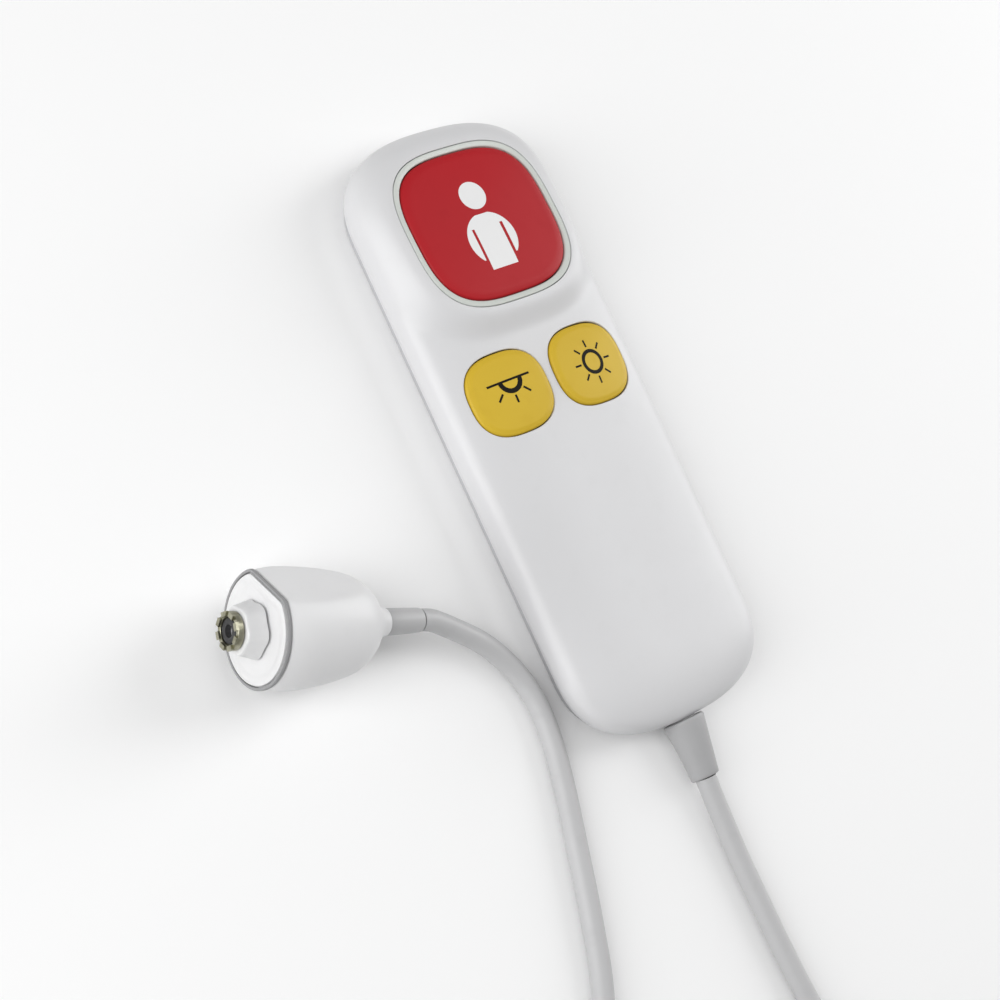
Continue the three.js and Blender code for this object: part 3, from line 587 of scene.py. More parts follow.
def screw_pattern(finish: Finish, sizes: dict[str, float]) -> PatternTree:
    """A tree that puts a cross-recess screw on every point.

    Args:
        finish: the screws' material.
        sizes: the named sizes in metres.

    Returns:
        The tree.
    """
    tree = PatternTree("Cross recess screws", sizes)
    size = tree.start.outputs
    head = tree.node("GeometryNodeMeshCylinder", Vertices=40, Radius=size["Head Radius"],
                     Depth=size["Head Height"])
    shank = tree.node("GeometryNodeMeshCylinder", Vertices=24, Radius=size["Shank Radius"],
                      Depth=size["Shank Length"])
    head_at = tree.node("GeometryNodeTransform", Geometry=head.outputs["Mesh"],
                        Translation=tree.vector(z=tree.scaled(size["Head Height"], 0.5)))
    shank_z = tree.scaled(size["Shank Length"], 0.5, sizes["Head Height"] * 0.9)
    shank_at = tree.node("GeometryNodeTransform", Geometry=shank.outputs["Mesh"],
                         Translation=tree.vector(z=shank_z))
    bars = []
    for turned_over in (False, True):
        sides = [tree.scaled(size["Head Radius"], 1.25), size["Recess Width"]]
        if turned_over:
            sides.reverse()
        span = tree.vector(*sides, size["Head Height"])
        bars.append(tree.node("GeometryNodeMeshCube", Size=span).outputs["Mesh"])
    recess = tree.node("GeometryNodeMeshBoolean")
    recess.operation = "DIFFERENCE"
    recess.solver = "EXACT"
    tree.tree.links.new(head_at.outputs[0], recess.inputs["Mesh 1"])
    for bar in bars:
        tree.tree.links.new(bar, recess.inputs["Mesh 2"])
    screw = tree.node("GeometryNodeJoinGeometry")
    tree.tree.links.new(shank_at.outputs[0], screw.inputs[0])
    tree.tree.links.new(recess.outputs[0], screw.inputs[0])
    points = tree.node("GeometryNodeInstanceOnPoints", Points=size["Geometry"], Instance=screw.outputs[0])
    tree.close(points.outputs[0], finish)
    return tree


def crown_pattern(finish: Finish, sizes: dict[str, float]) -> PatternTree:
    """A tree that stands square teeth in a ring round X on top of a turned ring.

    Args:
        finish: the ring's material.
        sizes: the named sizes in metres, and the count.

    Returns:
        The tree.
    """
    tree = PatternTree("Contact crown", sizes)
    size = tree.start.outputs
    circle = tree.node("GeometryNodeMeshCircle", Vertices=size["Teeth"], Radius=size["Radius"])
    tooth = tree.node("GeometryNodeMeshCube", Size=tree.vector(size["Wall"], size["Width"], size["Height"]))
    outwards = tree.node("GeometryNodeInputPosition")
    facing = tree.node("FunctionNodeAlignRotationToVector", Vector=outwards.outputs[0])
    facing.axis = "X"
    crown = tree.node("GeometryNodeInstanceOnPoints", Points=circle.outputs["Mesh"],
                      Instance=tooth.outputs["Mesh"], Rotation=facing.outputs[0])
    turned_to = tree.node("GeometryNodeTransform", Geometry=crown.outputs[0],
                          Translation=tree.vector(x=size["Place"]), Rotation=(0.0, math.pi / 2, 0.0))
    both = tree.node("GeometryNodeJoinGeometry")
    tree.tree.links.new(turned_to.outputs[0], both.inputs[0])
    tree.tree.links.new(size["Geometry"], both.inputs[0])
    tree.close(both.outputs[0], finish)
    return tree


def jacket_pattern(finish: Finish, sizes: dict[str, float]) -> PatternTree:
    """A tree that sweeps a round jacket along a line of points.

    Args:
        finish: the jacket's material.
        sizes: the named sizes in metres, and the sides.

    Returns:
        The tree.
    """
    tree = PatternTree("Cable jacket", sizes)
    size = tree.start.outputs
    line = tree.node("GeometryNodeMeshToCurve", Mesh=size["Geometry"])
    section = tree.node("GeometryNodeCurvePrimitiveCircle", Resolution=size["Sides"], Radius=size["Radius"])
    tube = tree.node("GeometryNodeCurveToMesh", Curve=line.outputs[0], Profile_Curve=section.outputs["Curve"])
    tube.inputs["Fill Caps"].default_value = True
    tree.close(tube.outputs[0], finish)
    return tree


# Housing


@dataclass
class Pillow:
    """The handset's rounded form: its plan outline and the height of its front."""

    half_x: float = 26.6
    half_y: float = 71.05
    end: float = 19.3
    end_power: float = 2.6
    belt_z: float = 7.0
    face_z: float = 14.3
    edge_power: float = 3.0
    seam_z: float = 2.1
    flare: float = 2.4
    call_y: float = 45.75
    call_half: tuple[float, float] = (18.4, 17.3)
    call_power: float = 3.1
    call_z: float = 15.8
    call_slope: float = 0.067
    hump: tuple[float, float] = (1.1, 1.5)

    def outline(self, inset: float = 0.0, kept: float = 1.0, side_steps: int = 120, end_steps: int = 80,
                z: float = 0.0, depth: float = 0.0) -> Ring:
        """The plan outline.

        Args:
            inset: how far inside the belt it lies.
            kept: its share of the way out from the middle line.
            side_steps: points along each side.
            end_steps: points round each end.
            z: its height.
            depth: how far inside the skin the whole form lies.

        Returns:
            The ring, counter-clockwise.
        """
        straight = self.half_y - self.end
        half_x = (self.half_x - depth) * kept - inset
        end = (self.end - depth) * kept - inset
        ring = []
        for side in (1, -1):
            for i in range(side_steps):
                ring.append(Vector((side * half_x, side * straight * (2 * i / side_steps - 1), z)))
            for i in range(end_steps):
                turn = math.pi * i / end_steps
                across = math.copysign(abs(math.cos(turn)) ** (2 / self.end_power), math.cos(turn))
                along = straight + end * math.sin(turn) ** (2 / self.end_power)
                ring.append(Vector((side * half_x * across, side * along, z)))
        return ring

    def plane(self, x: float, y: float) -> float:
        """Height of the call button's sloping platform."""
        return self.call_z - self.call_slope * (y - self.call_y)

    def height(self, x: float, y: float, depth: float = 0.0, hump_depth: float = 0.0) -> float:
        """Height of the front's skin.

        Args:
            x: place across.
            y: place along.
            depth: how far inside the skin.
            hump_depth: the same, under the platform.

        Returns:
            The height.
        """
        along = max(0.0, abs(y) - (self.half_y - self.end)) / (self.end - depth)
        across = abs(x) / (self.half_x - depth)
        out = (across ** self.end_power + along ** self.end_power) ** (1 / self.end_power)
        rise = self.face_z - depth - self.belt_z
        plain = self.belt_z + rise * max(0.0, 1 - out ** self.edge_power) ** (1 / 3)
        reach = (abs(x / self.call_half[0]) ** self.call_power
                 + abs((y - self.call_y) / self.call_half[1]) ** self.call_power) ** (1 / self.call_power)
        t = min(1.0, max(0.0, (self.hump[1] - reach) / (self.hump[1] - self.hump[0])))
        return plain + t * t * (3 - 2 * t) * max(0.0, self.plane(x, y) - hump_depth - plain)

    def flare_inset(self, z: float) -> float:
        """How far the side has drawn in at a height below the belt."""
        return self.flare * ((self.belt_z - z) / (self.belt_z - self.seam_z)) ** 2

    def solid(self, depth: float, hump_depth: float, sides: Sequence[tuple[float, float]],
              shares: Sequence[float], side_steps: int, end_steps: int) -> Mesh:
        """The closed rounded body.

        Args:
            depth: how far inside the skin.
            hump_depth: the same, under the platform.
            sides: pairs of height and inset for the rings under the belt.
            shares: places of the rings on the front, from 1 at the belt to 0 at the middle line.
            side_steps: points along each side.
            end_steps: points round each end.

        Returns:
            Points and faces.
        """
        rings = [self.outline(inset, 1.0, side_steps, end_steps, z, depth) for z, inset in sides]
        for kept in shares:
            ring = self.outline(0.0, kept, side_steps, end_steps, 0.0, depth)
            for point in ring:
                point.z = self.height(point.x, point.y, depth, hump_depth)
            rings.append(ring)
        points, faces = skin(rings)
        return points, faces[:-1]


def squircle(half: tuple[float, float], power: float, offset: float, middle: tuple[float, float],
             height: Callable[[float, float], float], share: float = 1.0, count: int = 128) -> Ring:
    """A square with full corners, laid on a surface.

    Args:
        half: half its sizes.
        power: how square it is.
        offset: how far outside that size.
        middle: its centre.
        height: the surface's height at a point.
        share: its share of the way out from its centre.
        count: points around.

    Returns:
        The ring, counter-clockwise.
    """
    ring = []
    for i in range(count):
        turn = 2 * math.pi * (i + 0.5) / count
        across, along = math.cos(turn), math.sin(turn)
        x = middle[0] + share * (half[0] + offset) * math.copysign(abs(across) ** (2 / power), across)
        y = middle[1] + share * (half[1] + offset) * math.copysign(abs(along) ** (2 / power), along)
        ring.append(Vector((x, y, height(x, y))))
    return ring


@dataclass
class Housing:
    """The white front shell, the grey rear cover and their screws."""

    form: Pillow = field(default_factory=Pillow)
    wall: float = 2.2
    ledge: float = 3.1
    slide: float = 0.35
    light_gap: float = 0.2
    ring_seat: float = 1.65
    ring_depth: float = 1.9
    cover_half: tuple[float, float] = (24.0, 68.45)
    cover_end: float = 16.7
    cover_thick: float = 1.8
    screw_spots: tuple[tuple[float, float], ...] = ((18, 23.4), (-18, 23.4), (14, -59.5), (-14, -59.5))
    cup_radius: float = 3.6
    cup_top: float = 3.6
    neck: float = 3.2
    neck_z: float = 5.2

    def front_shell(self, buttons: Sequence["PushButton"]) -> bpy.types.Object:
        """The front shell with its openings.

        Args:
            buttons: the caps it has openings for.

        Returns:
            The piece.
        """
        form = self.form
        sides = [(2.1, 2.62), (2.14, 2.48), (2.24, 2.4 * 0.946), (2.6, form.flare_inset(2.6))]
        sides += [(z, form.flare_inset(z)) for z in (3.2, 3.9, 4.7, 5.5, 6.3)]
        shares = [math.sin(math.pi / 2 * i / 34) for i in range(34, -1, -1)]
        shell = make_piece("front_shell_skin", form.solid(0.0, 0.0, sides, shares, 120, 80), WHITE_SHELL)
        inner_sides = [(0.0, 2.4), (3.4, 2.4), (4.4, form.flare_inset(4.4)), (5.6, 0.2)]
        inner_shares = [1, 0.97, 0.9, 0.78, 0.58, 0.4, 0.2, 0.0]
        cutters = [form.solid(self.wall, self.ledge, inner_sides, inner_shares, 24, 20)]
        call = form.call_half
        place = (0.0, form.call_y)
        seat = [(self.ring_seat, -self.ring_depth), (self.ring_seat, -0.12), (self.ring_seat + 0.12, 0.01),
                (self.ring_seat + 0.2, 3.0)]
        for steps in (seat, [(self.slide, -7.0), (self.slide, 3.0)]):
            cutters.append(skin([squircle(call, form.call_power, offset, place,
                                          lambda x, y, h=h: form.plane(x, y) + h) for offset, h in steps]))
        for button in buttons[1:]:
            lip = [(self.slide, -6.0), (self.slide, -0.9), (self.light_gap, -0.6), (self.light_gap, -0.2),
                   (self.light_gap + 0.05, -0.08), (self.light_gap + 0.16, 0.01), (self.light_gap + 0.3, 0.1),
                   (self.light_gap + 0.3, 2.5)]
            cutters.append(skin([squircle(button.half, button.power, offset, button.middle,
                                          lambda x, y, h=h: form.height(x, y) + h) for offset, h in lip]))
        along = Matrix.Rotation(math.radians(-90), 4, "Z") @ Matrix.Scale(-1, 4, (1, 0, 0))
        outlet = turned([(-76, self.neck), (-66, self.neck)], 48)
        cutters.append(placed(outlet, Matrix.Translation((0, 0, self.neck_z)) @ along))
        cutters.append(block((2 * self.neck, 8, self.neck_z), (0, -71, self.neck_z / 2), 0.01))
        carve(shell, cutters, 32.0)
        return shell

    def rear_cover(self) -> bpy.types.Object:
        """The rear cover with its rounded edge, lip and screw cups.

        Returns:
            The piece.
        """
        plate_form = Pillow(half_x=self.cover_half[0], half_y=self.cover_half[1], end=self.cover_end)
        edge = [(0.0, 0.55), (0.03, 0.36), (0.1, 0.2), (0.22, 0.08), (0.4, 0.01), (0.55, 0.0),
                (self.cover_thick - 0.1, 0.0), (self.cover_thick, 0.1)]
        rings = [plate_form.outline(inset, 1.0, 40, 64, z) for z, inset in edge]
        lip = [(self.cover_thick, 2.3), (3.3, 2.3), (3.4, 2.4), (3.4, 3.4), (1.9, 3.5)]
        rings += [plate_form.outline(inset, 1.0, 40, 64, z) for z, inset in lip]
        cover = make_piece("rear_cover_skin", skin(rings), GREY_COVER)
        cups = []
        for x, y in self.screw_spots:
            turn = Matrix.Translation((x, y, 0)) @ Matrix.Rotation(math.radians(-90), 4, "Y")
            cups.append(placed(turned([(1.0, self.cup_radius), (self.cup_top, self.cup_radius)], 48), turn))
        for x in (7.0, -7.0):
            turn = Matrix.Translation((x, -57.0, 0)) @ Matrix.Rotation(math.radians(-90), 4, "Y")
            cups.append(placed(turned([(1.0, 2.7), (7.6, 2.7)], 40), turn))
        for number, cup in enumerate(cups):
            merge(cover, make_piece(f"cup_{number}", cup, GREY_COVER), Merge.JOIN)
        cutters = [block((9.8, 8.0, 4.0), (0, -66.15, 3.85), 0.01)]
        for x, y in self.screw_spots:
            turn = Matrix.Translation((x, y, 0)) @ Matrix.Rotation(math.radians(-90), 4, "Y")
            bore = [(-1.0, 3.4), (0.0, 2.85), (0.25, 2.6), (2.1, 2.6), (2.1, 1.5), (5.0, 1.5)]
            cutters.append(placed(turned(bore, 48), turn))
        carve(cover, cutters)
        return cover

    def screws(self) -> bpy.types.Object:
        """The housing screws in the rear cover's counterbores.

        Returns:
            The piece.
        """
        spots = bpy.data.meshes.new("housing_screws")
        spots.from_pydata([(x * MM, y * MM, 0.6 * MM) for x, y in self.screw_spots], [], [])
        piece = bpy.data.objects.new("housing_screws", spots)
        bpy.context.scene.collection.objects.link(piece)
        sizes = {"Head Radius": 0.0022, "Head Height": 0.0012, "Shank Radius": 0.0012, "Shank Length": 0.005,
                 "Recess Width": 0.0006}
        screw_pattern(SCREW_STEEL, sizes).apply(piece)
        return piece

    def build(self, buttons: Sequence["PushButton"]) -> None:
        """Builds and dresses the housing.

        Args:
            buttons: the caps that the shell has openings for.
        """
        shell = self.front_shell(buttons)
        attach(shell, ROOT)
        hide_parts("front_shell")
        cover = self.rear_cover()
        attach(cover, ROOT)
        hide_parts("rear_cover")
        screws = self.screws()
        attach(screws, ROOT)
        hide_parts(*[f"housing_screw_{i}" for i in (1, 2, 3, 4)])
        for piece in (shell, cover, screws):
            LOG.info("%s: %d faces", piece.name, len(piece.data.polygons))


# Push buttons


class Icon(Enum):
    """The pictograms on the caps."""

    PERSON = "person"
    CEILING_LAMP = "ceiling_lamp"
    ROOM_LAMP = "room_lamp"


@dataclass
class PushButton:
    """A crowned cap with a printed pictogram."""

    name: str
    body: str
    icon: Icon
    middle: tuple[float, float]
    half: tuple[float, float]
    power: float
    crown: float
    skirt: float
    finish: Finish
    slot: str
    plane: Callable[[float, float], float]
    print_lift: float = 0.035

    def top(self, x: float, y: float) -> float:
        """Height of the crowned face.

        Args:
            x: place across.
            y: place along.

        Returns:
            The height.
        """
        across = abs((x - self.middle[0]) / self.half[0]) ** self.power
        along = abs((y - self.middle[1]) / self.half[1]) ** self.power
        share = min(1.0, (across + along) ** (1 / self.power))
        return self.plane(x, y) + 0.2 + (self.crown - 0.2) * (1 - share ** 2)

    def ring(self, offset: float, height: float) -> Ring:
        """The cap's outline at an offset and a height over its plane."""
        return squircle(self.half, self.power, offset, self.middle, lambda x, y: self.plane(x, y) + height)

    def cap(self) -> bpy.types.Object:
        """The hollow cap.

        Returns:
            The piece.
        """
        inside = [(-1.8, -1.8), (-1.8, -self.skirt), (-0.15, -self.skirt), (0.0, -self.skirt + 0.15)]
        rings = [squircle(self.half, self.power, 0.0, self.middle, lambda x, y: self.plane(x, y) - 1.8, 0.15)]
        rings += [self.ring(offset, height) for offset, height in inside]
        edge = [(0.0, -0.62), (-0.02, -0.45), (-0.08, -0.28), (-0.19, -0.12), (-0.34, 0.01), (-0.53, 0.1),
                (-0.76, 0.165)]
        rings += [self.ring(offset, height) for offset, height in edge]
        start = 1 - 1.0 / self.half[0]
        for i in range(14):
            share = start * (1 - i / 14)
            rings.append(squircle(self.half, self.power, 0.0, self.middle, self.top, share))
        return make_piece(f"{self.name}_cap", skin(rings), self.finish, 50.0)

    def plate(self, rows: Sequence[tuple[Vector, Vector]], across: int = 10, closed: bool = False) -> Mesh:
        """A thin printed plate between two edges, laid on the cap's face.

        Args:
            rows: pairs of left and right points, from one end to the other, relative to the cap's centre.
            across: steps across.
            closed: the last row meets the first.

        Returns:
            Points and faces.
        """
        rings = []
        for left, right in rows:
            line = [left.lerp(right, i / across) for i in range(across + 1)]
            flat = [(p.x + self.middle[0], p.y + self.middle[1]) for p in line]
            upper = [Vector((x, y, self.top(x, y) + self.print_lift)) for x, y in flat]
            lower = [Vector((x, y, self.top(x, y) - 0.08)) for x, y in reversed(flat)]
            rings.append(upper + lower)
        return skin(rings, closed)

    def band(self, middle: Vector, inner: float, outer: float, start: float, end: float,
             steps: int = 40) -> Mesh:
        """A printed arc between two radii.

        Args:
            middle: its centre, relative to the cap's.
            inner: inner radius.
            outer: outer radius.
            start: first angle in degrees.
            end: last angle in degrees.
            steps: steps along it.

        Returns:
            Points and faces.
        """
        rows = []
        whole = end - start == 360
        for i in range(steps if whole else steps + 1):
            turn = math.radians(start + (end - start) * i / steps)
            way = Vector((math.cos(turn), math.sin(turn)))
            rows.append((middle + way * inner, middle + way * outer))
        return self.plate(rows, 4, whole)

    def stroke(self, start: Vector, end: Vector, width: float) -> Mesh:
        """A printed straight stroke.

        Args:
            start: one end, relative to the cap's centre.
            end: the other.
            width: its width.

        Returns:
            Points and faces.
        """
        side = (end - start).orthogonal().normalized() * width / 2
        rows = [(start.lerp(end, i / 8) - side, start.lerp(end, i / 8) + side) for i in range(9)]
        return self.plate(rows, 2)

    def person(self) -> Mesh:
        """Head, shoulders, arms and torso as plain rounded shapes.

        Returns:
            Points and faces.
        """
        head, chest, reach = Vector((-0.15, 6.3)), Vector((-0.45, -4.3)), 6.3
        parts = []
        rows = []
        for i in range(33):
            turn = math.pi / 2 - math.pi * (i + 0.001) / 32.002
            rows.append((head + Vector((-3.35 * math.cos(turn), 3.35 * math.sin(turn))),
                         head + Vector((3.35 * math.cos(turn), 3.35 * math.sin(turn)))))
        parts.append(self.plate(rows, 14))
        rows = []
        for i in range(25):
            y = 1.75 + (-1.2 - 1.75) * i / 24
            half = math.sqrt(reach ** 2 - (y - chest.y) ** 2)
            rows.append((Vector((chest.x - half, y)), Vector((chest.x + half, y))))
        parts.append(self.plate(rows, 24))
        rows = []
        for i in range(25):
            y = -1.15 - 9.95 * i / 24
            rows.append((Vector((chest.x - 3.55, y)), Vector((chest.x + 3.45, y))))
        parts.append(self.plate(rows, 14))
        for side in (-1, 1):
            rows = []
            for i in range(33):
                y = -1.1 - 7.5 * i / 32
                half = math.sqrt(reach ** 2 - (y - chest.y) ** 2)
                pair = (Vector((chest.x + side * 4.25, y)), Vector((chest.x + side * max(4.3, half), y)))
                rows.append(pair if side > 0 else (pair[1], pair[0]))
            parts.append(self.plate(rows, 5))
        return combine(parts)

    def ceiling_lamp(self) -> Mesh:
        """A line with a half-round lamp and three rays under it.

        Returns:
            Points and faces.
        """
        parts = [self.stroke(Vector((-5.4, 2.62)), Vector((5.75, 2.62)), 0.5)]
        middle = Vector((0.5, 2.6))
        parts.append(self.band(middle, 2.0, 3.1, 180, 360))
        rays = (((-2.5, 0.1), (-4.0, -1.3)), ((0.35, -0.95), (0.35, -2.75)), ((3.0, 0.1), (4.4, -1.3)))
        for start, end in rays:
            parts.append(self.stroke(Vector(start), Vector(end), 0.48))
        return combine(parts)

    def room_lamp(self) -> Mesh:
        """A ring with eight rays round it.

        Returns:
            Points and faces.
        """
        middle = Vector((0.42, 0.0))
        parts = [self.band(middle, 2.1, 2.95, 0, 360, 64)]
        for i in range(8):
            turn = math.pi * i / 4
            way = Vector((math.cos(turn), math.sin(turn)))
            parts.append(self.stroke(middle + way * 3.5, middle + way * 5.2, 0.45))
        return combine(parts)

    def build(self) -> None:
        """Builds and dresses the cap and its pictogram."""
        cap = self.cap()
        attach(cap, self.body)
        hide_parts(f"{self.name}_button")
        shapes = {Icon.PERSON: self.person, Icon.CEILING_LAMP: self.ceiling_lamp,
                  Icon.ROOM_LAMP: self.room_lamp}
        finish = WHITE_PRINT if self.icon is Icon.PERSON else DARK_PRINT
        print_piece = make_piece(f"{self.name}_pictogram", shapes[self.icon](), finish, 40.0)
        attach(print_piece, self.body)
        LOG.info("%s: cap %d faces, pictogram %d faces", self.name, len(cap.data.polygons),
                 len(print_piece.data.polygons))


@dataclass
class LightRing:
    """The translucent ring round the call button, with its legs."""

    form: Pillow = field(default_factory=Pillow)
    near: float = 0.22
    far: float = 1.5
    depth: float = 1.6

    def build(self) -> None:
        """Builds and dresses the ring."""
        section = [(self.far, -self.depth), (self.far, -0.14), (self.far - 0.14, 0.0),
                   (self.near + 0.3, -0.02), (self.near + 0.1, -0.1), (self.near, -0.25),
                   (self.near, -self.depth)]
        form = self.form
        rings = [squircle(form.call_half, form.call_power, offset, (0.0, form.call_y),
                          lambda x, y, h=h: form.plane(x, y) + h) for offset, h in section]
        parts = [skin(rings, closed=True)]
        for side in (-1, 1):
            parts.append(block((0.96, 4.0, 7.2), (side * 19.25, form.call_y, 10.8)))
        ring = make_piece("call_light_guide", combine(parts), LIGHT_GUIDE)
        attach(ring, ROOT)
        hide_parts("call_light_ring")
        LOG.info("%s: %d faces", ring.name, len(ring.data.polygons))


# Cable


@dataclass
class Cable:
    """The free cable with its coil, tie and strain relief."""

    diameter: float = 4.8
    middle: tuple[float, float] = (-36.0, -178.5)
    low_z: float = 3.525
    turn: float = 4.85
    outer: float = 38.5
    turns_low: float = 4.0
    turns_high: float = 4.5
    handset_route: tuple[tuple[float, float, float], ...] = (
        (0, -84.95, 3.85), (0, -89, 3.4), (0, -96, 2.9), (0, -104, 2.5), (0.1, -114, 2.5), (0.3, -126, 2.5),
        (1, -139, 2.5), (2, -149, 2.9), (2.5, -158, 3.5))
    plug_route: tuple[tuple[float, float, float], ...] = (
        (-52.5, -28.45, 8.4), (-50, -29.25, 7.9), (-44.4, -32.85, 5.8), (-38.8, -37.55, 4.3),
        (-35, -42.35, 3.2), (-32.3, -48.05, 2.6), (-31.2, -53.65, 2.5), (-31.2, -59.05, 2.5),
        (-32.2, -66.25, 2.5), (-33.8, -73.55, 2.5), (-37.2, -86.15, 2.5), (-41.2, -100.25, 2.5),
        (-46.2, -114.65, 2.5), (-54, -127.65, 2.7), (-64.5, -139.65, 4.5), (-72.2, -149.65, 7), (-74.4, -158, 8.2))
    per_turn: int = 24

    def coil_points(self) -> list[Vector]:
        """The coil's centre line: a spiral in, one layer up, and a spiral out.

        Returns:
            The points in millimetres.
        """
        points = []
        total = self.turns_low + self.turns_high
        for i in range(1, int(total * self.per_turn)):
            turns = i / self.per_turn
            past = turns - self.turns_low
            radius = self.outer - self.turn * min(turns, self.turns_low)
            radius += self.turn * max(0.0, past - 0.5)
            t = min(1.0, max(0.0, (past + 0.25) / 0.75))
            z = self.low_z + self.turn * t * t * (3 - 2 * t)
            angle = -2 * math.pi * turns
            points.append(Vector((self.middle[0] + radius * math.cos(angle),
                                  self.middle[1] + radius * math.sin(angle), z)))
        return points

    def line(self) -> list[Vector]:
        """The whole centre line from the handset to the plug, smoothed between its points.

        Returns:
            The points in millimetres.
        """
        knots = [Vector(p) for p in self.handset_route] + self.coil_points()
        knots += [Vector(p) for p in reversed(self.plug_route)]
        fine = []
        ends = [knots[0] * 2 - knots[1], *knots, knots[-1] * 2 - knots[-2]]
        for a, b, c, d in zip(ends, ends[1:], ends[2:], ends[3:]):
            steps = max(2, round((c - b).length / 1.6))
            for i in range(steps):
                fine.append(self.between(a, b, c, d, i / steps))
        fine.append(knots[-1])
        return fine

    @staticmethod
    def between(a: Vector, b: Vector, c: Vector, d: Vector, t: float) -> Vector:
        """A point on the centripetal curve through four points.

        Args:
            a: the point before the stretch.
            b: the stretch's start.
            c: the stretch's end.
            d: the point after the stretch.
            t: share of the way from b to c.

        Returns:
            The point.
        """
        ta = 0.0
        tb = ta + max(1e-6, (b - a).length) ** 0.5
        tc = tb + max(1e-6, (c - b).length) ** 0.5
        td = tc + max(1e-6, (d - c).length) ** 0.5
        at = tb + (tc - tb) * t
        p = a.lerp(b, (at - ta) / (tb - ta))
        q = b.lerp(c, (at - tb) / (tc - tb))
        r = c.lerp(d, (at - tc) / (td - tc))
        s = p.lerp(q, (at - ta) / (tc - ta))
        u = q.lerp(r, (at - tb) / (td - tb))
        return s.lerp(u, (at - tb) / (tc - tb))

    def jacket(self) -> tuple[bpy.types.Object, list[Vector]]:
        """The cable's jacket.

        Returns:
            The piece and its centre line in millimetres.
        """
        line = self.line()
        data = bpy.data.meshes.new("cable")
        data.from_pydata([p * MM for p in line], [(i, i + 1) for i in range(len(line) - 1)], [])
        piece = bpy.data.objects.new("cable", data)
        bpy.context.scene.collection.objects.link(piece)
        jacket_pattern(CABLE_JACKET, {"Radius": self.diameter / 2 * MM, "Sides": 20}).apply(piece, 60.0)
        return piece, line

    def boot(self) -> bpy.types.Object:
        """The tapered strain relief at the handset.

        Returns:
            The piece.
        """
        profile = [(-64.35, 3.6), (-64.6, 3.85), (-65.9, 3.85), (-66.15, 3.6), (-66.15, 2.9), (-71.35, 2.9),
                   (-71.36, 4.4), (-71.42, 4.62), (-71.6, 4.74), (-72.0, 4.78), (-73.35, 4.58), (-75.5, 4.3),
                   (-78.0, 3.98), (-81.0, 3.66), (-83.6, 3.4), (-84.5, 3.32), (-84.8, 3.2), (-84.93, 2.95),
                   (-84.94, 2.3)]
        rings = []
        for y, radius in profile:
            along = max(0.0, -71.35 - y) / 13.1
            z = 5.2 - 1.3 * along ** 1.4
            turns = [2 * math.pi * i / 56 for i in range(56)]
            rings.append([Vector((radius * math.cos(a), y, max(2.1, z + radius * math.sin(a)) if y > -71 else
                                  z + radius * math.sin(a))) for a in turns])
        return make_piece("handset_strain_relief", skin(rings), BOOT_RUBBER, 45.0)

    def tie(self) -> bpy.types.Object:
        """The strap round the coil's bundle, with its free end lapped over.

        Returns:
            The piece.
        """
        near, far, top = 14.95, 41.225, 11.9
        thick, radius = 0.8, 2.2
        path: list[tuple[Vector, Vector]] = []
        low, high = -far + thick / 2, -near - thick / 2
        bottom, roof = thick / 2, top - thick / 2 - 0.02
        corners = [(high - radius, bottom + radius, -90), (high - radius, roof - radius, 0),
                   (low + radius, roof - radius, 90), (low + radius, bottom + radius, 180)]
        for cy, cz, start in corners:
            for i in range(9):
                a = math.radians(start + 90 * i / 8)
                out = Vector((0.0, math.cos(a), math.sin(a)))
                path.append((Vector((self.middle[0], self.middle[1] + cy, cz)) + out * radius, out))
        rings = []
        for place, out in path:
            corner = [(-4.5, -thick / 2), (4.5, -thick / 2), (4.5, thick / 2), (-4.5, thick / 2)]
            section = []
            for (x0, r0), (x1, r1) in zip(corner, corner[1:] + corner[:1]):
                steps = 12 if r0 == r1 else 3
                for i in range(steps):
                    x, r = x0 + (x1 - x0) * i / steps, r0 + (r1 - r0) * i / steps
                    section.append(place + Vector((x, 0, 0)) + out * r * (1 - 0.12 * (abs(x) / 4.5) ** 8))
            rings.append(section)
        parts = [skin(rings, closed=True)]
        parts.append(block((8.0, 7.0, 0.5), (self.middle[0], self.middle[1] - 33.0, top - thick - 0.25), 0.1))
        return make_piece("coil_strap", combine(parts), STRAP_CLOTH, 50.0)

    def build(self, plug_pieces: Sequence[object]) -> None:
        """Builds and dresses the cable.

        Args:
            plug_pieces: the pieces on the cable's far end. Not used.
        """
        jacket, line = self.jacket()
        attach(jacket, ROOT)
        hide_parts("cable_handset_side", "cable_coil", "cable_plug_side")
        boot, tie = self.boot(), self.tie()
        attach(boot, ROOT)
        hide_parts("handset_boot")
        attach(tie, ROOT)
        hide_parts("coil_tie")
        length = sum((b - a).length for a, b in zip(line, line[1:])) * MM
        LOG.info("%s: %d faces, %.3f m long", jacket.name, len(jacket.data.polygons), length)


# Wall plug


